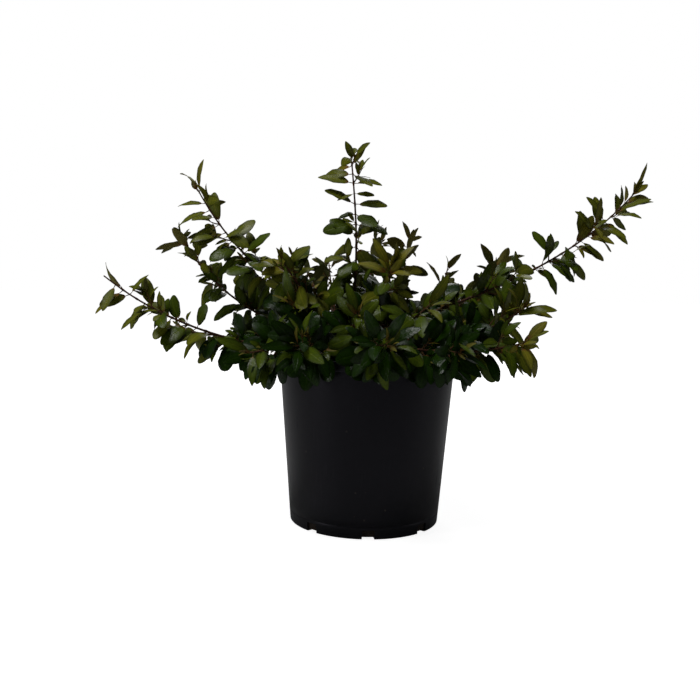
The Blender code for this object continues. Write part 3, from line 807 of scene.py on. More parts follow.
def growTwig(draw, foot, heading, outward, length, leaf, share):
    # A side twig that bends upwards and ends in a pair of small leaves
    opening = math.radians(growth["twigSpread"] + draw.uniform(-1, 1) * growth["spreadJitter"])
    way = heading * math.cos(opening) + outward * math.sin(opening)
    bend = (way + Vector((0, 0, growth["twigRise"]))).normalized()
    middle = foot + way * length / 2
    tip = middle + bend * length / 2
    side = bend.cross(outward).normalized()
    youth = growth["twigYouth"] + (1 - growth["twigYouth"]) * share
    leaves = growPair(draw, tip, bend, side, leaf, growth["youngWidth"], growth["tipSpread"], 0, youth, 1)
    return dict(points=[foot, middle, tip], way=way, bend=bend, side=side, leaves=leaves, leaf=leaf,
                youth=youth)


def onTwig(points, share):
    # The quadratic curve through a twig's foot, middle and tip
    foot, middle, tip = points
    rest = 1 - share
    return foot * rest * (1 - 2 * share) + middle * 4 * share * rest + tip * share * (2 * share - 1)


def dressTwig(fine, twig, strength):
    # Finer growth: more pairs down a strong twig, a bud on its end
    points, bend, side, leaf = [twig[key] for key in ("points", "bend", "side", "leaf")]
    low, high = growth["twigPairs"]
    across = bend.cross(side).normalized()
    leaves = growFine(fine, "twigUpper", onTwig(points, high), bend, across, leaf, twig["youth"], 1)
    if strength > growth["strongTwig"]:
        leaves += growFine(fine, "twigLower", onTwig(points, low), twig["way"], side, leaf, twig["youth"], 1)
    return leaves + growBud(fine, points[2], bend, side, leaf * growth["twigBud"], 0.9)


def growTuft(fine, twig):
    # A few small leaves straight out of an axil
    points, way, side, leaf = [twig[key] for key in ("points", "way", "side", "leaf")]
    foot = points[0] + way * growth["tuftGap"]
    across = way.cross(side).normalized()
    outer = growFine(fine, "tuftOuter", foot, way, side, leaf, twig["youth"], 1)
    return outer + growFine(fine, "tuftInner", foot + way * growth["pairGap"], way, across, leaf, 1.0, 2)


def growShoot(shoot, line, side):
    # Leaf pairs, twigs and tufts along a shoot. Leaves in a spray share its number, which deals poses
    # and colours.
    g = growth
    draw = random.Random(shoot["seed"])
    fine = random.Random(shoot["look"])
    start = shoot["bare"] * mm
    largest = shoot["leaf"] * mm
    gap = shoot["step"] * mm
    sprays = []
    twigs = []
    nodes = []
    place = start + gap * g["firstNode"]
    turn = math.radians(shoot["turn"])
    while place < line.length - g["lastNode"]:
        share = (place - start) / (line.length - start)
        foot = line.at(place)
        heading = line.heading(place)
        angle = turn + math.radians(draw.uniform(-1, 1) * g["turnJitter"])
        outward = heading.cross(side) * math.cos(angle) + side * math.sin(angle)
        size = largest * (1 - g["tipShrink"] * share)
        width = g["leafWidth"] + (g["youngWidth"] - g["leafWidth"]) * share
        spread = g["leafSpread"] + (g["youngSpread"] - g["leafSpread"]) * share
        sprays.append(growPair(draw, foot, heading, outward, size, width, spread,
                               g["droop"] * (1 - share), share, 0))
        nodes.append(place)
        for sign in (1, -1):
            strength = draw.random()
            length = shoot["twig"] * mm * (1 - g["twigShrink"] * share)
            length *= g["twigLeast"] + (1 - g["twigLeast"]) * strength
            twig = growTwig(draw, foot, heading, outward * sign, length, size * g["twigLeaf"], share)
            if strength > g["weakTwig"]:
                twigs.append(twig | dict(spray=len(sprays)))
                sprays.append(twig["leaves"] + dressTwig(fine, twig, strength))
            else:
                sprays.append(growTuft(fine, twig))
        turn += math.radians(90)
        crowding = 1 - (1 - g["crowding"]) * share
        step = gap * crowding * (1 + draw.uniform(-1, 1) * g["nodeJitter"])
        # Half way to the next node, a smaller pair
        angle = turn + math.radians(fine.uniform(-1, 1) * g["betweenTurn"])
        outward = heading.cross(side) * math.cos(angle) + side * math.sin(angle)
        sprays.append(growPair(fine, line.at(place + step / 2), heading, outward, size * g["betweenLeaf"],
                               width, spread, g["droop"] * (1 - share), share, 0))
        place += step
    heading = line.heading(line.length)
    outward = heading.cross(side) * math.cos(turn) + side * math.sin(turn)
    foot = line.at(line.length - g["tipGap"])
    size = largest * (1 - g["tipShrink"])
    tip = growPair(draw, foot, heading, outward, size, g["youngWidth"], g["tipSpread"], 0, 1.0, 0)
    sprays.append(tip + growBud(fine, line.at(line.length), heading, outward, size * g["tipBud"], 0.95))
    return sprays, twigs, nodes


lines = {}
sprays = {}
twigs = []
shootNodes = {}
for name, shoot in shoots.items():
    line, side = shootLine(shoot)
    lines[name] = (line, side)
    sprays[name], grownTwigs, shootNodes[name] = growShoot(shoot, line, side)
    twigs += [twig | dict(shoot=name) for twig in grownTwigs]
print("grown:", sum(len(grown) for grown in sprays.values()), "sprays,", len(twigs), "twigs")


# Bark: the main stem and the bare boughs

barkSettings = {
    "stemRadii": (5.0 * mm, 4.2 * mm),
    "flareRadius": 7.5 * mm,
    "flareFade": 3 * mm,
    "sunk": 1.8 * mm,          # below the top of the mix
    "stemRings": 64,
    "stemSides": 40,
    "stemRelief": 0.42 * mm,
    "stemRidges": (12, 260),   # count, and highest pitch in radians to a metre
    "stemTwist": 12,
    "roundFrom": 0.93,         # of the height, where the stem's top rounds off
    "roundReach": 0.07,
    "roundDrop": 0.35,
    "lobes": 4,
    "lobeTurn": 0.7,
    "lobeDepth": 0.10,
    "lobeFade": 8 * mm,
    "boughRadius": 2.3 * mm,
    "leaderRadius": 2.9 * mm,
    "shootRadius": 1.5 * mm,
    "collar": 0.55,            # how much wider a bough is where it leaves the stem
    "collarFade": 4 * mm,
    "boughRingGap": 1.1 * mm,
    "boughSides": 14,
    "boughRelief": 0.10,       # of the radius
    "boughRidges": (8, 420),
    "boughTwist": 20,
    "boughOverlap": 0.5 * mm,
    "scarGap": 17 * mm,        # between old leaf scars
    "scarSwell": 0.16,
    "scarWidth": 1.0 * mm,
    "seed": 33,
}


def ridges(rng, angle, along, twist, count, pitch):
    # Upright ridges: mean of cos(m * turn + k * along + phase), whole m, so that the ring closes
    m = rng.integers(3, 12, count)
    k = rng.uniform(-pitch, pitch, count)
    phase = rng.uniform(0, 2 * np.pi, count)
    turn = angle[None] + along[:, None] * twist
    return np.cos(turn[..., None] * m + along[:, None, None] * k + phase).mean(axis=-1) * math.sqrt(count)


def makeStemPart(rng):
    # Radius = taper + flare * exp(-height / fade) + root lobes near the foot + ridges
    s = barkSettings
    height = -s["sunk"] + (stemSettings["height"] + s["sunk"]) * np.linspace(0, 1, s["stemRings"])
    paths = np.array([stemAxis(h) for h in height])
    angle = roundAngles(s["stemSides"])
    share = np.clip(height / stemSettings["height"], 0, 1)
    radius = s["stemRadii"][0] + (s["stemRadii"][1] - s["stemRadii"][0]) * share
    fall = np.exp(-np.maximum(height, 0) / s["flareFade"])
    radius = radius + (s["flareRadius"] - s["stemRadii"][0]) * fall
    rounded = 1 - ((share - s["roundFrom"]) / s["roundReach"]) ** 2 * s["roundDrop"]
    radius = radius * np.where(share > s["roundFrom"], rounded, 1)
    fade = np.exp(-np.maximum(height, 0) / s["lobeFade"])[:, None]
    lobes = 1 + s["lobeDepth"] * np.cos(s["lobes"] * angle + s["lobeTurn"])[None] * fade
    bark = ridges(rng, angle, height, s["stemTwist"], *s["stemRidges"])
    radii = radius[:, None] * lobes + bark * s["stemRelief"]
    return tubes(paths[None], radii[None], s["stemSides"], np.array([[1.0, 0, 0]]))


def makeBoughPart(rng, shoot, line, side):
    # Radius = taper, wider at the collar, with ridges and a swollen ring at each old leaf scar
    s = barkSettings
    bare = shoot["bare"] * mm
    onTop = shoot["foot"] * mm >= stemSettings["height"]
    thick = s["leaderRadius"] if onTop else s["boughRadius"]
    place = np.linspace(0, bare + s["boughOverlap"], int(bare / s["boughRingGap"]))
    radius = thick + (s["shootRadius"] - thick) * place / bare
    outside = np.maximum(place - s["stemRadii"][1], 0)
    radius = radius * (1 + s["collar"] * np.exp(-outside / s["collarFade"]))
    first = rng.uniform(0.5, 1.2) * s["scarGap"]
    scars = np.arange(first, bare - 6 * mm, s["scarGap"] * rng.uniform(0.8, 1.2))
    bump = np.exp(-((place[:, None] - scars[None]) / s["scarWidth"]) ** 2).sum(axis=1)
    radius = radius * (1 + s["scarSwell"] * bump)
    angle = roundAngles(s["boughSides"])
    bark = ridges(rng, angle, place, s["boughTwist"], *s["boughRidges"])
    radii = radius[:, None] * (1 + s["boughRelief"] * bark)
    return tubes(line.many(place)[None], radii[None], s["boughSides"], np.array([side]))


def makeBarkPiece(material):
    rng = np.random.default_rng(barkSettings["seed"])
    parts = [makeStemPart(rng)]
    for name, shoot in shoots.items():
        parts.append(makeBoughPart(rng, shoot, *lines[name]))
    points, faceSets = joinParts(parts)
    mesh = makeMesh("stemAndBoughs", points, faceSets, [material], sharpAngle=60)
    replaced = ["main_stem"] + ["bough_" + name for name in shoots]
    return addPiece(mesh, replaced)


# Shoots, twigs and leaf stalks

shootSettings = {
    "tipRadius": 0.75 * mm,
    "ringGap": 2.6 * mm,
    "sides": 9,
    "nodeSwell": 0.45,
    "nodeWidth": 1.6 * mm,
    "twigRadii": (0.85 * mm, 0.5 * mm),
    "twigRings": 7,
    "twigSides": 6,
    "stalkRadii": (0.55 * mm, 0.34 * mm),
    "stalkPlaces": (-0.25, 0.4, 1.05),   # of its length, from inside the stem into the blade
    "stalkSag": 0.12,
    "stalkScale": (0.35, 1.2),  # least and most, and 1 for a leaf of the next length
    "stalkLeaf": 30 * mm,
    "stalkSides": 5,
}


def makeShootParts():
    # Shoots that go on from the boughs' tips, swollen where each pair of leaves stands
    s = shootSettings
    parts = []
    for name, shoot in shoots.items():
        line, side = lines[name]
        bare = shoot["bare"] * mm
        place = np.linspace(bare - 1 * mm, line.length, int((line.length - bare) / s["ringGap"]) + 2)
        share = (place - bare) / (line.length - bare)
        radius = barkSettings["shootRadius"] + (s["tipRadius"] - barkSettings["shootRadius"]) * share
        swell = np.exp(-((place[:, None] - np.array(shootNodes[name])[None]) / s["nodeWidth"]) ** 2)
        radius = radius * (1 + s["nodeSwell"] * swell.sum(axis=1))
        parts.append(tubes(line.many(place)[None], radius[None], s["sides"], np.array([side])))
    return parts


def makeTwigPart():
    s = shootSettings
    share = np.linspace(0, 1, s["twigRings"])
    paths = np.array([[onTwig(twig["points"], t) for t in share] for twig in twigs])
    radius = s["twigRadii"][0] + (s["twigRadii"][1] - s["twigRadii"][0]) * share
    reference = np.array([twig["side"] for twig in twigs])
    return tubes(paths, np.broadcast_to(radius, paths.shape[:2]), s["twigSides"], reference)


def makeStalkPart(leaves):
    # A leaf stalk bends from its stem to the foot of the blade
    s = shootSettings
    share = np.array(s["stalkPlaces"])
    stalk = leaves["stalk"][:, None, None]
    sag = leaves["face"][:, None] * stalk * (s["stalkSag"] * (share * (1 - share)))[None, :, None]
    paths = leaves["foot"][:, None] + leaves["way"][:, None] * stalk * share[None, :, None] - sag
    scale = np.clip(leaves["length"] / s["stalkLeaf"], *s["stalkScale"])
    radius = scale[:, None] * np.linspace(*s["stalkRadii"], len(share))[None]
    return tubes(paths, radius, s["stalkSides"], leaves["face"])


def makeShootPiece(leaves, materials):
    # Shoots, twigs and stalks in one mesh, each with a material of its own
    parts = [joinParts(makeShootParts()), makeTwigPart(), makeStalkPart(leaves)]
    points = []
    faceSets = []
    slots = []
    offset = 0
    for number, (partPoints, partFaces) in enumerate(parts):
        points.append(partPoints)
        for faces in partFaces:
            faceSets.append(faces + offset)
            slots.append(np.full(len(faces), number))
        offset += len(partPoints)
    mesh = makeMesh("shootsAndTwigs", np.concatenate(points), faceSets, materials, np.concatenate(slots),
                    sharpAngle=60)
    return addPiece(mesh, ["foliage_" + name for name in shoots])


# Leaves

leafSettings = {
    "stalk": 0.13,             # of the leaf's length
    "rows": (0, 0.03, 0.12, 0.28, 0.46, 0.64, 0.81, 0.925, 0.975, 1),
    "columns": 5,
    "widest": (0.53, 0.46),    # how far along, old and young
    "blunt": (0.40, 0.74),     # power of the outline, old and young
    "rimRoll": 0.20,           # of the half width, how far the rim turns down
    "wave": 0.07,              # of the half width
    "waves": 14,               # radians from foot to tip
    "twistFrom": 0.3,          # where along the blade its twist is nought
    "thickness": 0.28 * mm,
    "thinShare": 0.012,        # of the length, where that is less
    "diamond": (0.16, 0.5, 0.94, 0.36),   # foot, middle, tip and half width of a blade's stand-in
    "potPlaces": (0.3, 0.5, 0.75, 1.0),   # along a blade and across it, where it is tried for the pot
    "potSides": (-0.4, 0.0, 0.4),
    "limbRings": 40,
    "limbSides": 5,
    "sameFoot": 2 * mm,        # blades whose feet are nearer may cross
    "margin": 5 * mm,          # how far a blade may pass the solids' box
    "leastShare": 0.6,         # of its size, below which a blade is left out
    "potClear": 0.7 * mm,
    "sharp": 75,               # degrees
    "budRows": (0, 0.08, 0.28, 0.55, 0.80, 0.95, 1),
    "budColumns": 3,
    "seed": 5,
}
poseSettings = {
    "grow": (1.25, 1.25, 1.0),   # by rank, how much larger than the rule's leaf
    "sizeJitter": 0.17,
    "lateForm": 1.5,           # power that keeps the narrow young form to the tips
    "longest": 36 * mm,        # blades beyond it are drawn back by the next share
    "drawBack": 0.75,
    "youngGrow": 1.20,         # times that at a tip
    "slim": (1.14, 0.72),      # of the rule's width, old and young
    "light": (0, -0.35, 1),    # where the upper faces turn, and outwards by the next
    "lightOut": 0.65,
    "lightShare": 0.8,         # of the angle to it
    "turn": (22, 35, 20),      # degrees that a spray turns round its stem, by rank
    "roll": (30, 28, 20),      # degrees about the leaf's own length, by rank
    "sway": (15, 17, 10),      # degrees that the leaf's length leaves the rule's way, by rank
    "sag": (0.75, 0.45, 0.0),  # by rank, how far the oldest leaves hang
    "youngSag": 0.5,           # of that at a tip
    "arch": (0.80, 0.60),      # radians from foot to tip, old and young
    "archJitter": 0.45,
    "fold": (0.06, 0.30),      # radians that each half stands up
    "foldJitter": 0.3,
    "twist": 0.35,
    "leastArch": 0.05,
    "widestDraw": 2,
}


def byAge(pair, youth):
    return pair[0] + (pair[1] - pair[0]) * youth


def poseDraws(sprays, poses):
    # Ten draws to a leaf, the last one shared by its spray. A spray's number and its pose are the seed,
    # so each spray can be posed alone.
    draws = [np.random.default_rng((number, pose)).normal(0, 1, (len(spray), 10))
             for number, (spray, pose) in enumerate(zip(sprays, poses)) if pose]
    for own in draws:
        own[:, 9] = own[0, 9]
    widest = poseSettings["widestDraw"]
    return np.clip(np.concatenate(draws), -widest, widest).T


def turned(vectors, axes, angles):
    # Vectors turned about unit axes: v cos(a) + (axis x v) sin(a) + axis (axis . v) (1 - cos(a))
    cos, sin = np.cos(angles)[:, None], np.sin(angles)[:, None]
    along = np.sum(axes * vectors, axis=1, keepdims=True)
    return vectors * cos + np.cross(axes, vectors) * sin + axes * along * (1 - cos)


def poseLeaves(sprays, poses):
    # One array for each property. A spray turns round its stem, and each leaf sways off the rule's way
    # and sags, way - sag * Z. It turns its upper face part of the way to the light, rolls a little about
    # its own length, and gets the bends of its blade. A spray whose pose is 0 is left out.
    s = poseSettings
    roll, swayUp, swaySide, sag, size, arch, fold, twist, wave, turn = poseDraws(sprays, poses)
    kept = [(number, leaf) for number, spray in enumerate(sprays) if poses[number] for leaf in spray]
    made = {key: np.array([leaf[key] for _, leaf in kept], float)
            for key in ("foot", "way", "face", "length", "width", "youth", "rank", "stem")}
    made["spray"] = np.array([number for number, _ in kept])
    rank = made["rank"].astype(int)
    youth = made["youth"] ** s["lateForm"]
    made["form"] = youth
    length = made["length"] * np.array(s["grow"])[rank] * byAge((1, s["youngGrow"]), youth)
    length = length * (1 + size * s["sizeJitter"])
    length = length - s["drawBack"] * np.maximum(length - s["longest"], 0)
    made["width"] = made["width"] * length / made["length"] * byAge(s["slim"], youth)
    made["length"] = length
    made["stalk"] = length * leafSettings["stalk"]
    turn = np.radians(turn * np.array(s["turn"])[rank])
    way = turned(made["way"], made["stem"], turn)
    face = turned(made["face"], made["stem"], turn)
    sway = np.radians(np.array(s["sway"])[rank])
    way = way + face * (sway * swayUp)[:, None] + np.cross(face, way) * (sway * swaySide)[:, None]
    way[:, 2] -= np.abs(sag) * np.array(s["sag"])[rank] * byAge((1, s["youngSag"]), youth)
    way = unit(way)
    face = unit(face - way * np.sum(face * way, axis=1, keepdims=True))
    light = unit(made["foot"] * [1, 1, 0]) * s["lightOut"] + s["light"]
    across = np.cross(face, way)
    angle = np.arctan2(-np.sum(light * across, axis=1), np.sum(light * face, axis=1))
    turn = (angle * s["lightShare"] + np.radians(roll * np.array(s["roll"])[rank]))[:, None]
    made["way"] = way
    made["face"] = face * np.cos(turn) - across * np.sin(turn)
    made["across"] = np.cross(made["face"], way)
    arch = byAge(s["arch"], youth) * (1 + s["archJitter"] * arch)
    made["arch"] = np.where(np.abs(arch) < s["leastArch"], s["leastArch"], arch)
    made["fold"] = byAge(s["fold"], youth) * (1 + s["foldJitter"] * fold)
    made["twist"] = twist * s["twist"]
    made["waveStart"] = np.stack([wave * 2, wave * 5], axis=1)
    return made


def joinLeaves(groups):
    # Leaves of all shoots as one, with the sprays numbered on from shoot to shoot
    first = np.cumsum([0] + [int(leaves["spray"].max()) + 1 for leaves in groups[:-1]])
    for leaves, start in zip(groups, first):
        leaves["spray"] = leaves["spray"] + start
    return {key: np.concatenate([leaves[key] for leaves in groups]) for key in groups[0]}


def pick(leaves, chosen):
    return {key: values[chosen] for key, values in leaves.items()}


def proxyPoints(leaves):
    # Foot, rims and tip of a flat diamond inside each blade
    low, half, high, spread = leafSettings["diamond"]
    reach = leaves["way"] * leaves["length"][:, None]
    rim = leaves["across"] * leaves["width"][:, None] * spread
    foot = leaves["foot"] + reach * low
    middle = leaves["foot"] + reach * half
    return np.stack([foot, middle + rim, leaves["foot"] + reach * high, middle - rim], axis=1)


def treeOf(corners):
    return BVHTree.FromPolygons(corners.reshape(-1, 3).tolist(),
                                np.arange(len(corners) * 4).reshape(-1, 4).tolist())


def clearOfPot(leaves):
    # True where no point of the blade lies in the pot's wall, under its rim or in the mix
    share = np.array(leafSettings["potPlaces"])
    side = np.array(leafSettings["potSides"])
    points = (leaves["foot"][:, None, None]
              + leaves["way"][:, None, None] * (leaves["length"][:, None] * share)[..., None, None]
              + leaves["across"][:, None, None] * (leaves["width"][:, None] * side)[:, None, :, None])
    radius = np.hypot(points[..., 0], points[..., 1])
    height = points[..., 2]
    clear = leafSettings["potClear"]
    wall = wallRadius(height)
    inOutline = (radius < wall + potSettings["collarStep"] + clear) & (height < potHeight + clear)
    inMouth = (radius < wall - potSettings["wall"] - clear) & (height > mixHigh.z + clear)
    return ~(inOutline & ~inMouth).any(axis=(1, 2))


def clearOfLimbs(leaves):
    # True where the diamond crosses no stem, bough or shoot
    rings = leafSettings["limbRings"]
    sides = leafSettings["limbSides"]
    radius = np.linspace(barkSettings["boughRadius"], shootSettings["tipRadius"], rings)
    parts = []
    for line, side in lines.values():
        place = np.linspace(0, line.length, rings)
        parts.append(tubes(line.many(place)[None], radius[None], sides, np.array([side])))
    points, faceSets = joinParts(parts)
    wood = BVHTree.FromPolygons(points.tolist(), [face for faces in faceSets for face in faces.tolist()])
    clear = np.ones(len(leaves["length"]), bool)
    clear[[pair[0] for pair in treeOf(proxyPoints(leaves)).overlap(wood)]] = False
    return clear


def clearOfEachOther(leaves):
    # Larger leaves first: a leaf is left out if its diamond crosses one that stays, elsewhere on the plant
    blades = treeOf(proxyPoints(leaves))
    crossed = {}
    for a, b in blades.overlap(blades):
        apart = np.linalg.norm(leaves["foot"][a] - leaves["foot"][b])
        if a != b and apart > leafSettings["sameFoot"]:
            crossed.setdefault(a, []).append(b)
    stays = np.zeros(len(leaves["length"]), bool)
    for leaf in np.argsort(-leaves["length"], kind="stable"):
        stays[leaf] = not any(stays[other] for other in crossed.get(int(leaf), ()))
    return stays


def bladePoints(leaves, rows, columns):
    # Midrib: x = (sin(a/2) - sin(a/2 - a t)) / a and y = (cos(a/2 - a t) - cos(a/2)) / a times the length,
    # an arc of angle a whose chord runs along the leaf. Half width = sin(pi t^p)^q. Each half stands up
    # by the fold, its rim turns down with the cube of the distance, and the rim waves.
    s = leafSettings
    youth = leaves["form"][:, None]
    t = np.asarray(rows)[None, 1:-1]
    across = np.linspace(-1, 1, columns)
    length = (leaves["length"] - leaves["stalk"])[:, None]
    arch = leaves["arch"][:, None]
    power = math.log(0.5) / np.log(byAge(s["widest"], youth))
    outline = np.sin(np.pi * t ** power) ** byAge(s["blunt"], youth)
    half = leaves["width"][:, None] / 2 * outline

    def midrib(at):
        turn = arch / 2 - arch * at
        x = (np.sin(arch / 2) - np.sin(turn)) / arch * length
        y = (np.cos(turn) - np.cos(arch / 2)) / arch * length
        start = leaves["foot"] + leaves["way"] * leaves["stalk"][:, None]
        return (start[:, None] + leaves["way"][:, None] * x[..., None]
                + leaves["face"][:, None] * y[..., None]), turn

    middle, turn = midrib(t)
    cos, sin = np.cos(turn)[..., None], np.sin(turn)[..., None]
    normal = leaves["face"][:, None] * cos - leaves["way"][:, None] * sin
    twist = (leaves["twist"][:, None] * (t - s["twistFrom"]))[..., None]
    level = leaves["across"][:, None] * np.cos(twist) + normal * np.sin(twist)
    normal = normal * np.cos(twist) - leaves["across"][:, None] * np.sin(twist)
    fold = leaves["fold"][:, None, None]
    start = leaves["waveStart"][:, None, None]
    size = np.abs(across)
    phase = t[..., None] * s["waves"] + np.where(across > 0, start[..., 0], start[..., 1])
    wave = s["wave"] * size ** 2 * np.sin(phase)
    lift = size * np.sin(fold) - s["rimRoll"] * size ** 3 + wave
    top = (middle[:, :, None] + level[:, :, None] * (half[..., None] * across * np.cos(fold))[..., None]
           + normal[:, :, None] * (half[..., None] * lift)[..., None])
    thin = np.minimum(s["thickness"], leaves["length"] * s["thinShare"])[:, None, None, None]
    under = top[:, :, 1:-1] - normal[:, :, None] * thin
    ends, _ = midrib(np.array([[0.0, 1.0]]))
    return ends, top, under


def bladeMesh(leaves, rows, columns):
    # Corner numbers of one leaf: two ends, the upper sheet, then the lower sheet between the rims
    ends, top, under = bladePoints(leaves, rows, columns)
    count = len(ends)
    inner = len(rows) - 2
    points = np.concatenate([ends, top.reshape(count, -1, 3), under.reshape(count, -1, 3)], axis=1)
    upper = 2 + np.arange(inner * columns).reshape(inner, columns)
    lower = upper.copy()
    lower[:, 1:-1] = 2 + inner * columns + np.arange(inner * (columns - 2)).reshape(inner, columns - 2)

    def sheet(index):
        body = np.stack([index[:-1, :-1], index[1:, :-1], index[1:, 1:], index[:-1, 1:]], axis=-1)
        foot = [[0, index[0, k], index[0, k + 1], index[0, k + 2]] for k in range(0, columns - 1, 2)]
        tip = [[1, index[-1, k + 2], index[-1, k + 1], index[-1, k]] for k in range(0, columns - 1, 2)]
        return np.concatenate([body.reshape(-1, 4), foot, tip])

    faces = np.concatenate([sheet(upper), sheet(lower)[:, [0, 3, 2, 1]]])
    side = np.concatenate([np.zeros(len(faces) // 2, int), np.ones(len(faces) // 2, int)])
    across = np.linspace(0, 1, columns)
    u = np.concatenate([[0.5, 0.5], np.tile(across, inner), np.tile(across[1:-1], inner)])
    v = np.concatenate([[0, 1], np.repeat(rows[1:-1], columns), np.repeat(rows[1:-1], columns - 2)])
    offsets = np.arange(count)[:, None, None] * points.shape[1]
    uv = np.stack([u[faces], v[faces]], axis=-1)
    return (points.reshape(-1, 3), (faces[None] + offsets).reshape(-1, 4), np.tile(side, count),
            np.tile(uv.reshape(-1, 2), (count, 1)))


# Linear colours of a blade's upper and under face, roughness, and how far rust reaches from the stalk
tints = {
    # The deep tint is both the dark green of old leaves and painted shade, as it is dealt to low leaves near
    # the pot
    "deepLeaves": dict(top=(0.010, 0.029, 0.0008), under=(0.072, 0.086, 0.022), gloss=0.22, reach=0.05),
    "greenLeaves": dict(top=(0.062, 0.092, 0.0045), under=(0.092, 0.104, 0.025), gloss=0.25, reach=0.10),
    "freshLeaves": dict(top=(0.118, 0.130, 0.0080), under=(0.128, 0.130, 0.028), gloss=0.31, reach=0.16),
    "oliveLeaves": dict(top=(0.160, 0.147, 0.0100), under=(0.180, 0.158, 0.030), gloss=0.38, reach=0.30),
    "rustyBuds": dict(top=(0.128, 0.116, 0.0120), under=(0.160, 0.134, 0.038), gloss=0.56, reach=0.62),
}
tintSettings = {
    "rust": (0.150, 0.062, 0.014),
    "mottle": (0.62, 0.74, 0.8),   # times the upper face's colour, by channel
    # rim: times the upper face's colour at the blade's rim, painted shade
    "rim": 0.38,
    "rib": (2.4, 2.0, 2.0),
    "felt": 0.8,
    # heights and reach: leaves below the first height and within the first reach of the pot's axis get the
    # deep tint, painted shade; above the second or beyond it, lighter tints, painted light
    "heights": (0.212, 0.262),   # leaves below the first and within the reach are in shade
    "reach": (0.10, 0.15),
    "youthKeptByShade": (0.05, 0.74),   # in the shade and out of it
    "youthAddedByLight": (0.0, 0.12),
    "spread": 0.13,
    "steps": (0.18, 0.50, 0.80),
    "rustyShare": 0.6,
}


def makeBladeMaterials(name, tint):
    # The upper face: mottled, with painted shade darkening it at the rim, and pale sunken veins. The under
    # face:
    # pale felt with raised veins. Both are rusty by the stalk.
    s = tintSettings
    upper, tree, shader = newMaterial(name + "Upper")
    veins = addGroup(tree, veinGroup, {"Reach": tint["reach"]})
    tone = addGroup(tree, mottleGroup, {"Colour": rgba(tint["top"]), "Other": rgba(tint["top"], s["mottle"]),
                                        "Scale": 45.0, "Amount": 0.55})
    # Painted shade: the upper face darkens towards its rim
    rimShadeShare = addMath(tree, "MULTIPLY", veins.outputs["Rim"], 0.9)
    rimShaded = addMix(tree, rimShadeShare, tone.outputs["Colour"], rgba(tint["top"], [s["rim"]] * 3))
    vein = addMath(tree, "ADD", addMath(tree, "MULTIPLY", veins.outputs["Midrib"], 0.35),
                   addMath(tree, "MULTIPLY", veins.outputs["Side"], 0.07))
    ribbed = addMix(tree, vein, rimShaded, rgba(tint["top"], s["rib"]))
    rusted = addMix(tree, veins.outputs["Base"], ribbed, rgba(s["rust"]))
    rough = addRange(tree, tone.outputs["Value"], 0.0, 1.0, tint["gloss"], tint["gloss"] + 0.16)
    groove = addMath(tree, "ADD", veins.outputs["Midrib"],
                     addMath(tree, "MULTIPLY", veins.outputs["Side"], 0.35))
    relief = addMath(tree, "SUBTRACT", 1.0, groove)
    place = addNode(tree, "ShaderNodeTexCoord").outputs["Object"]
    uneven = addBump(tree, addNoise(tree, place, 260.0, 2.0), 0.5, 0.8 * mm)
    setInputs(tree, shader, {"Base Color": rusted, "Roughness": rough, "Specular IOR Level": 0.14,
                             "Normal": addBump(tree, relief, 0.4, 0.25 * mm, uneven)})

    lower, tree, shader = newMaterial(name + "Under")
    veins = addGroup(tree, veinGroup, {"Reach": tint["reach"]})
    pale = rgba(tint["under"], [s["felt"]] * 3)
    felt = addGroup(tree, mottleGroup, {"Colour": rgba(tint["under"]), "Other": pale,
                                        "Scale": 900.0, "Amount": 0.7})
    rusted = addMix(tree, veins.outputs["Base"], felt.outputs["Colour"], rgba(s["rust"]))
    relief = addMath(tree, "ADD", veins.outputs["Midrib"],
                     addMath(tree, "MULTIPLY", felt.outputs["Value"], 0.25))
    setInputs(tree, shader, {"Base Color": rusted, "Roughness": 0.85, "Specular IOR Level": 0.25,
                             "Normal": addBump(tree, relief, 0.5, 0.3 * mm)})
    return [upper, lower]


def shareOf(values, low, high):
    return np.clip((values - low) / (high - low), 0, 1)


def dealTints(leaves, rng):
    # By the leaf's youth and a little chance for each spray. Low sprays near the pot stay deep green to
    # their tips, painted shade, and leaves higher up or further out are dealt lighter tints, painted light.
    # Some sprays have rusty buds.
    s = tintSettings
    spray = leaves["spray"].astype(int)
    spread = rng.normal(0, s["spread"], spray.max() + 1)[spray]
    rusty = rng.random(spray.max() + 1)[spray] < s["rustyShare"]
    # Painted shade and light: 0 for a leaf low down near the pot's axis, 1 for one high up or out at the
    # side
    above = shareOf(leaves["foot"][:, 2], *s["heights"])
    beside = shareOf(np.abs(leaves["foot"][:, 0]), *s["reach"])
    light = np.maximum(above, beside)
    youth = leaves["youth"] * byAge(s["youthKeptByShade"], light) + byAge(s["youthAddedByLight"], light) + spread
    number = np.digitize(youth, s["steps"])
    return np.where((leaves["rank"] == 2) & rusty, len(s["steps"]) + 1, number)


def makeLeafPieces(leaves):
    # One piece for each tint. The small leaves of rusty buds have fewer rows and columns.
    s = leafSettings
    dealt = dealTints(leaves, np.random.default_rng(s["seed"]))
    for number, (name, tint) in enumerate(tints.items()):
        inBuds = name == "rustyBuds"
        rows = s["budRows"] if inBuds else s["rows"]
        columns = s["budColumns"] if inBuds else s["columns"]
        points, faces, side, uv = bladeMesh(pick(leaves, dealt == number), rows, columns)
        materials = makeBladeMaterials(name, tint)
        mesh = makeMesh(name, points, [faces], materials, side, uv, sharpAngle=s["sharp"])
        addPiece(mesh, ["foliage_" + shoot for shoot in shoots])


def fitToBox(leaves):
    # Leaves that would pass the solids' box by more than the margin are made smaller
    s = leafSettings
    low = np.array(cadLow) - s["margin"] - leaves["foot"]
    high = np.array(cadHigh) + s["margin"] - leaves["foot"]
    room = (np.where(leaves["way"] > 0, high, low) / leaves["way"]).min(axis=1)
    share = np.minimum(1, room / leaves["length"])
    for key in ("length", "width", "stalk"):
        leaves[key] = leaves[key] * share
    return share > s["leastShare"]
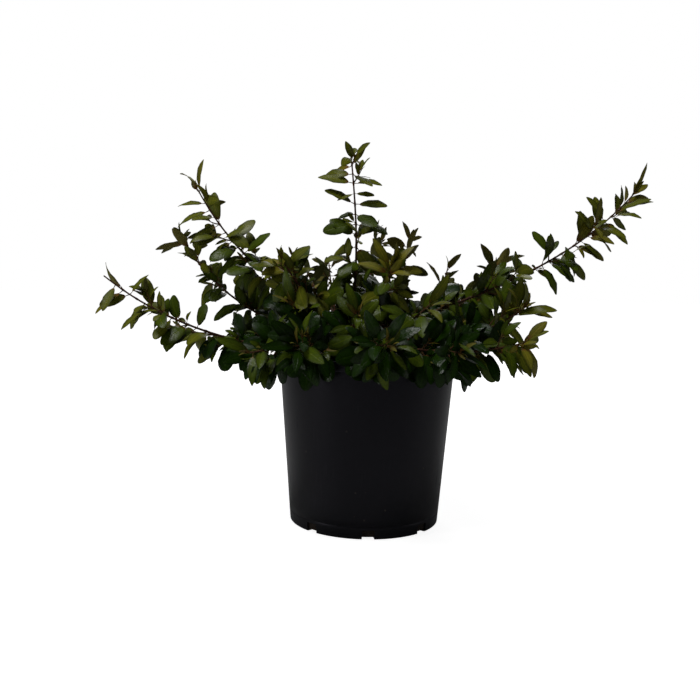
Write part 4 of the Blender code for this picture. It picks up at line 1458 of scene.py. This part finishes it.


# Which draw each spray takes

# Leaves that stand out against the sky, measured on the plane through the pot's axis as the camera sees it:
# x and z of the foot, x and z of the tip, and the width, in mm
leafPlaces = {
    "left_low": (
        (-296, 269, -325, 266, 5), (-292, 271, -277, 298, 5), (-294, 273, -296, 285, 3),
        (-287, 258, -301, 234, 11), (-288, 251, -272, 240, 5), (-253, 244, -254, 282, 14),
        (-260, 256, -273, 259, 5), (-241, 238, -243, 257, 5), (-235, 238, -235, 248, 8),
        (-226, 234, -220, 253, 8), (-248, 231, -266, 231, 8), (-266, 231, -275, 200, 9),
        (-228, 231, -245, 223, 7), (-236, 221, -236, 202, 13), (-213, 221, -228, 192, 18),
        (-219, 235, -209, 224, 4), (-207, 222, -201, 231, 4), (-201, 231, -183, 225, 4)),
    "left_lower": (
        (-183, 197, -185, 158, 17), (-150, 190, -161, 167, 13), (-136, 196, -139, 165, 17),
        (-127, 194, -130, 155, 20), (-113, 171, -113, 145, 12), (-173, 200, -149, 196, 11),
        (-203, 192, -208, 173, 3), (-196, 212, -232, 188, 2)),
    "right_near": (
        (145, 177, 144, 141, 17), (158, 217, 164, 177, 18), (138, 211, 156, 188, 13),
        (170, 200, 189, 215, 11), (173, 200, 194, 202, 5), (173, 194, 197, 195, 5),
        (169, 191, 191, 169, 16), (131, 191, 127, 168, 13), (105, 184, 115, 149, 17),
        (155, 225, 175, 224, 5)),
    "left_middle": (
        (-217, 317, -212, 337, 8), (-219, 319, -223, 325, 3), (-207, 311, -200, 326, 7),
        (-216, 305, -244, 302, 6), (-207, 310, -200, 300, 3), (-191, 287, -184, 283, 11),
        (-175, 276, -188, 266, 9), (-173, 270, -175, 243, 14), (-169, 265, -161, 254, 6),
        (-176, 279, -178, 292, 4), (-182, 241, -189, 253, 10), (-142, 241, -175, 222, 9),
        (-151, 228, -148, 220, 9), (-136, 223, -142, 211, 11), (-139, 240, -135, 231, 5)),
    "left_high": (
        (-190, 371, -187, 399, 13), (-194, 368, -201, 378, 6), (-186, 371, -183, 383, 5),
        (-192, 354, -200, 356, 5), (-200, 356, -229, 338, 5), (-184, 338, -206, 340, 5),
        (-175, 341, -172, 359, 16), (-170, 359, -166, 367, 4), (-186, 359, -186, 367, 4),
        (-178, 331, -197, 296, 15), (-172, 329, -175, 317, 8), (-144, 327, -127, 341, 9),
        (-145, 331, -152, 340, 3), (-133, 314, -133, 325, 6), (-128, 309, -113, 326, 4),
        (-141, 311, -129, 293, 16), (-155, 310, -167, 307, 7), (-167, 307, -178, 280, 7),
        (-166, 299, -154, 289, 7), (-144, 287, -172, 278, 9), (-139, 282, -144, 249, 20),
        (-125, 270, -127, 252, 16)),
    "leader": (
        (-25, 412, -31, 430, 4), (-21, 406, -6, 424, 8), (-28, 403, -38, 406, 6),
        (-17, 393, -7, 402, 6), (-28, 390, -55, 383, 6), (-27, 394, -34, 399, 4),
        (-17, 387, -1, 385, 6), (-13, 377, -1, 384, 4), (-24, 374, -36, 380, 4),
        (-15, 371, 10, 362, 4), (-29, 366, -35, 357, 15), (-4, 356, 16, 357, 10),
        (-20, 342, -28, 345, 7), (-28, 345, -47, 332, 7), (-22, 340, -24, 332, 6),
        (-9, 343, 9, 329, 13), (-26, 326, -46, 326, 8), (-15, 321, -9, 313, 7)),
    "inner": (
        (-36, 300, -38, 316, 4), (-26, 299, -22, 313, 14), (-35, 293, -35, 300, 7),
        (-40, 295, -66, 282, 4), (-49, 287, -55, 270, 12), (-24, 283, -45, 269, 5),
        (7, 302, 8, 325, 12), (15, 317, 16, 331, 4), (23, 312, 26, 321, 6), (14, 316, 30, 309, 8),
        (34, 297, 35, 316, 9), (12, 298, 24, 295, 5)),
    "right": (
        (43, 318, 39, 341, 3), (46, 322, 53, 336, 4), (47, 319, 65, 326, 4), (45, 307, 52, 313, 3),
        (45, 304, 55, 301, 6), (41, 287, 70, 276, 4), (42, 286, 63, 284, 4), (86, 290, 89, 309, 7),
        (90, 293, 103, 301, 5), (93, 287, 99, 282, 8), (83, 276, 70, 287, 3),
        (137, 306, 110, 320, 4), (137, 317, 143, 327, 7), (140, 307, 162, 314, 3),
        (129, 292, 125, 309, 3), (137, 295, 138, 292, 12), (132, 288, 124, 289, 6),
        (201, 255, 218, 254, 9), (191, 252, 202, 262, 4), (198, 248, 219, 245, 4),
        (190, 243, 212, 234, 6), (195, 234, 203, 217, 4)),
    "right_high": (
        (284, 369, 282, 403, 6), (293, 377, 302, 398, 6), (296, 380, 309, 386, 5),
        (293, 369, 324, 365, 8), (274, 359, 275, 371, 4), (281, 358, 292, 359, 3),
        (281, 354, 292, 348, 4), (274, 348, 281, 322, 11), (272, 338, 269, 330, 7),
        (247, 338, 262, 343, 6), (249, 352, 254, 366, 10), (245, 342, 219, 363, 7),
        (237, 337, 234, 329, 4), (228, 325, 223, 338, 4), (248, 326, 264, 325, 7),
        (264, 325, 278, 294, 6), (241, 315, 256, 303, 5), (233, 315, 242, 301, 6),
        (222, 307, 224, 280, 17), (235, 286, 252, 280, 4), (225, 279, 231, 273, 4),
        (197, 304, 201, 318, 9), (191, 317, 185, 335, 11), (181, 304, 182, 314, 8),
        (180, 304, 148, 305, 7), (166, 289, 169, 298, 6), (186, 290, 169, 280, 8),
        (194, 289, 204, 276, 6), (204, 276, 216, 259, 6)),
}
# The dense part of the crown, x and z in mm, and the round gaps in it, x, z and radius
denseOutline = (
    (-100, 110), (-108, 190), (-150, 200), (-168, 208), (-128, 214), (-124, 245), (-118, 268),
    (-124, 288), (-112, 300), (-100, 311), (-85, 305), (-74, 315), (-66, 308), (-68, 284), (-60, 270),
    (-44, 262), (-32, 270),
    (-32, 293), (-10, 294), (0, 300), (16, 306), (36, 300), (40, 284), (50, 263), (70, 260),
    (84, 280), (96, 275), (112, 270), (124, 290), (144, 298), (168, 290), (184, 300), (186, 286),
    (178, 262), (192, 252), (190, 238), (176, 234), (156, 222), (140, 205), (110, 190),
    (100, 110))
gaps = (
    (-62, 236, 6), (-58, 242, 5), (-38, 228, 5), (-34, 222, 4), (20, 240, 4), (30, 236, 5),
    (50, 250, 5), (62, 246, 6), (112, 250, 4), (117, 236, 7), (119, 226, 6), (151, 242, 3),
    (146, 232, 3), (-70, 262, 4), (-38, 282, 5), (10, 272, 4), (26, 266, 4), (76, 238, 3))
choiceSettings = {
    "tries": 24,
    "fringeTries": 420,
    "turns": 3,
    "mendTurns": 12,
    "crossCost": 9.0,          # for each leaf that crosses something
    "cell": 1.5 * mm,
    "low": (-345 * mm, 110 * mm),
    "cells": (460, 230),
    "leafWorth": 1.0,
    "skyWorth": -1.0,
    "rimSlack": 0.6,           # mm added to half a measured leaf's width
    "layerCost": 0.15,         # for sky that is covered once more
    "facing": 6.0,             # for a blade of 100 square mm that shows its face
    "faceSteep": 2.5,
    "faceShift": 0.5,
    "faceWorth": (-1, 0.6),    # least and most
    "frontReach": 40 * mm,     # blades further back are judged from behind
    "rows": 14,
    "columns": 7,
    "lostCost": 8.0,
    "leastScore": -2.0,        # a spray whose best draw scores less is left out
}
# Shoots that the sky stands behind
fringe = ("leader", "left_low", "left_middle", "left_high", "left_lower", "left_rosette", "right_high",
          "right_top", "right_low", "right_near", "inner_right", "back_middle", "left_near", "front_right")


def worthOfCells():
    # What it is worth to cover a cell: a measured leaf counts up, open sky counts down, and the
    # dense part counts nothing but for its gaps. A measured leaf reaches width / 2 * (0.5 + 2 t (1 - t))
    # off its midrib.
    s = choiceSettings
    x = (s["low"][0] + (np.arange(s["cells"][0]) + 0.5) * s["cell"]) / mm
    z = (s["low"][1] + (np.arange(s["cells"][1]) + 0.5) * s["cell"]) / mm
    x, z = np.meshgrid(x, z, indexing="ij")
    worth = np.full(x.shape, s["skyWorth"])
    corners = np.array(denseOutline, float)
    inside = np.zeros(x.shape, bool)
    for (x0, z0), (x1, z1) in zip(corners, np.roll(corners, -1, axis=0)):
        if z0 != z1:
            inside ^= ((z0 > z) != (z1 > z)) & (x < (x1 - x0) * (z - z0) / (z1 - z0) + x0)
    worth[inside] = 0
    for middleX, middleZ, radius in gaps:
        worth[np.hypot(x - middleX, z - middleZ) < radius] = s["skyWorth"]
    for places in leafPlaces.values():
        for x0, z0, x1, z1, width in places:
            wide, high = x1 - x0, z1 - z0
            share = np.clip(((x - x0) * wide + (z - z0) * high) / (wide ** 2 + high ** 2), 0, 1)
            reach = width / 2 * (0.5 + 2 * share * (1 - share)) + s["rimSlack"]
            worth[np.hypot(x - x0 - wide * share, z - z0 - high * share) < reach] = s["leafWorth"]
    return worth.ravel()


def cellsOf(points):
    # Numbers of the cells where points stand, seen from the camera
    s = choiceSettings
    eye = np.array(cameraSettings["place"])
    share = eye[1] / (eye[1] - points[..., 1])
    x = eye[0] + (points[..., 0] - eye[0]) * share
    z = eye[2] + (points[..., 2] - eye[2]) * share
    column = np.clip((x - s["low"][0]) / s["cell"], 0, s["cells"][0] - 1).astype(int)
    row = np.clip((z - s["low"][1]) / s["cell"], 0, s["cells"][1] - 1).astype(int)
    return column * s["cells"][1] + row


def drawsOf(name):
    # The cells that each spray covers in each of its draws, and how well the blades show their faces
    s = choiceSettings
    count = len(sprays[name])
    tries = s["fringeTries"] if name in fringe else s["tries"]
    eye = np.array(cameraSettings["place"])
    rows = np.linspace(0, 1, s["rows"])
    covers = []
    marks = np.zeros((tries, count))
    for number in range(tries):
        leaves = poseLeaves(sprays[name], [number + 1] * count)
        clear = fitToBox(leaves) & clearOfPot(leaves)
        side = np.where(leaves["foot"][:, 1:2] < s["frontReach"], 1, -1) * [0, 1, 0] + [1, 0, 1]
        shown = np.sum(leaves["face"] * unit(eye * side - leaves["foot"]), axis=1)
        shown = np.clip(shown * s["faceSteep"] - s["faceShift"], *s["faceWorth"])
        area = leaves["length"] * leaves["width"] / mm ** 2 / 100
        worth = np.where(clear, shown * area * s["facing"], -s["lostCost"])
        marks[number] = np.bincount(leaves["spray"], worth, count)
        cells = cellsOf(bladePoints(leaves, rows, s["columns"])[1]).reshape(len(clear), -1)
        covers.append([np.unique(cells[(leaves["spray"] == k) & clear]) for k in range(count)])
    return covers, marks


def crossedIn(chosen):
    # For every spray, how many of its leaves cross a limb or a larger leaf
    posed = {name: poseLeaves(sprays[name], chosen[name]) for name in shoots}
    numbers = {name: leaves["spray"] for name, leaves in posed.items()}
    together = joinLeaves(list(posed.values()))
    crossed = ~(clearOfLimbs(together) & clearOfEachOther(together))
    parts = np.split(crossed, np.cumsum([len(own) for own in numbers.values()])[:-1])
    return {name: np.bincount(numbers[name], part, len(sprays[name])) for name, part in zip(numbers, parts)}


def choosePoses():
    # Spray by spray, the draw that adds the most worth to what all the others cover, a few times over.
    # Then sprays whose leaves cross something look for another draw.
    s = choiceSettings
    worth = worthOfCells()
    drawn = {name: drawsOf(name) for name in shoots}
    chosen = {name: [1] * len(sprays[name]) for name in shoots}
    covered = np.zeros(len(worth), int)
    for name, (covers, _) in drawn.items():
        for cells in covers[0]:
            covered[cells] += 1
    for turn in range(s["turns"] + s["mendTurns"]):
        mending = turn >= s["turns"]
        crossed = crossedIn(chosen) if mending else None
        for name, (covers, marks) in drawn.items():
            for k, now in enumerate(chosen[name]):
                if mending and (not now or not crossed[name][k]):
                    continue
                if mending:
                    marks[now - 1, k] -= s["crossCost"] * crossed[name][k]
                if now:
                    covered[covers[now - 1][k]] -= 1
                gain = worth * (covered == 0) - s["layerCost"] * (worth < 0)
                scores = [gain[own[k]].sum() + mark[k] for own, mark in zip(covers, marks)]
                best = int(np.argmax(scores))
                chosen[name][k] = best + 1 if scores[best] > s["leastScore"] else 0
                if chosen[name][k]:
                    covered[covers[best][k]] += 1
    return chosen


poses = choosePoses()
twigs = [twig for twig in twigs if poses[twig["shoot"]][twig["spray"]]]
print("left out", sum(pose == 0 for chosen in poses.values() for pose in chosen), "sprays")
allLeaves = joinLeaves([poseLeaves(grown, poses[name]) for name, grown in sprays.items()])
total = len(allLeaves["length"])
for test in (fitToBox, clearOfPot, clearOfLimbs, clearOfEachOther):
    allLeaves = pick(allLeaves, test(allLeaves))
    print("after", test.__name__, len(allLeaves["length"]), "of", total, "leaves")


# The bark's materials, and the pieces of the plant

woodSettings = {
    "bark": dict(colour=(0.070, 0.032, 0.018), other=(0.026, 0.013, 0.009), scale=420.0),
    "youngBark": dict(colour=(0.100, 0.038, 0.017), other=(0.042, 0.018, 0.010), scale=500.0),
    "twigBark": dict(colour=(0.120, 0.054, 0.020), other=(0.062, 0.032, 0.012), scale=700.0),
    "stalkSkin": dict(colour=(0.110, 0.078, 0.020), other=(0.070, 0.058, 0.014), scale=700.0),
}


def makeWood(name):
    s = woodSettings[name]
    return makeMottled(name, s["colour"], s["other"], s["scale"], 0.75, 0.2, 0.5, 0.2 * mm)


makeBarkPiece(makeWood("bark"))
makeShootPiece(allLeaves, [makeWood("youngBark"), makeWood("twigBark"), makeWood("stalkSkin")])
makeLeafPieces(allLeaves)


# Floor, sky and lights

stageSettings = {
    "floorRadius": 8.0,
    "floorSides": 64,
    "floorDrop": 0.2 * mm,
    "floorColour": (0.60, 0.60, 0.60),
    "floorGlow": (0.90, 1.0),  # seen by the camera alone, near the pot and far from it
    "glowReach": (0.15, 0.7),
    "skyColour": (0.92, 0.96, 1.0),
    "skyStrength": 0.045,
}
lightAim = Vector((0, 0, 0.22))
lightSettings = {
    "topLight": dict(place=(-0.5, -0.25, 1.85), size=(0.7, 0.7), power=17.0),
    "leftLight": dict(place=(-1.9, -1.0, 0.6), size=(0.3, 1.4), power=7.2),
    "rightLight": dict(place=(2.0, -0.3, 0.6), size=(0.6, 1.3), power=3.0),
    "backLight": dict(place=(0.3, 2.0, 1.3), size=(1.6, 1.2), power=10.0),
}


def makeFloor():
    # A wide disc just under the pot. It glows for the camera alone, so that it meets the white sky.
    s = stageSettings
    mesh = bpy.data.meshes.new("floor")
    angle = roundAngles(s["floorSides"])
    ring = np.stack([np.cos(angle), np.sin(angle), 0 * angle], axis=1) * s["floorRadius"]
    mesh.from_pydata((ring - [0, 0, s["floorDrop"]]).tolist(), [], [list(range(s["floorSides"]))])
    floor = bpy.data.objects.new("floor", mesh)
    bpy.context.scene.collection.objects.link(floor)
    material, tree, shader = newMaterial("paleFloor")
    seen = addNode(tree, "ShaderNodeLightPath").outputs["Is Camera Ray"]
    place = addNode(tree, "ShaderNodeTexCoord").outputs["Object"]
    distance = addNode(tree, "ShaderNodeVectorMath", {0: place}, operation="LENGTH").outputs["Value"]
    bright = addRange(tree, distance, *s["glowReach"], *s["floorGlow"])
    setInputs(tree, shader, {"Base Color": rgba(s["floorColour"]), "Roughness": 0.9,
                             "Emission Color": (1, 1, 1, 1),
                             "Emission Strength": addMath(tree, "MULTIPLY", seen, bright)})
    mesh.materials.append(material)


def makeSky():
    # White where the camera looks, a soft grey light everywhere else
    world = bpy.data.worlds.new("studio")
    world.use_nodes = True
    tree = world.node_tree
    soft = tree.nodes["Background"]
    setInputs(tree, soft, {"Color": rgba(stageSettings["skyColour"]),
                           "Strength": stageSettings["skyStrength"]})
    white = addNode(tree, "ShaderNodeBackground", {"Color": (1, 1, 1, 1), "Strength": 1.0})
    seen = addNode(tree, "ShaderNodeLightPath").outputs["Is Camera Ray"]
    both = addNode(tree, "ShaderNodeMixShader", {0: seen, 1: soft.outputs[0], 2: white.outputs[0]})
    tree.links.new(both.outputs[0], tree.nodes["World Output"].inputs["Surface"])
    bpy.context.scene.world = world


def makeLights():
    # Panels that face the middle of the plant
    for name, s in lightSettings.items():
        data = bpy.data.lights.new(name, "AREA")
        data.shape = "RECTANGLE"
        data.size, data.size_y = s["size"]
        data.energy = s["power"]
        light = bpy.data.objects.new(name, data)
        light.location = s["place"]
        light.rotation_euler = (lightAim - light.location).to_track_quat("-Z", "Y").to_euler()
        bpy.context.scene.collection.objects.link(light)


makeFloor()
makeSky()
makeLights()
bpy.context.scene.view_settings.view_transform = "Standard"
print("stage set")
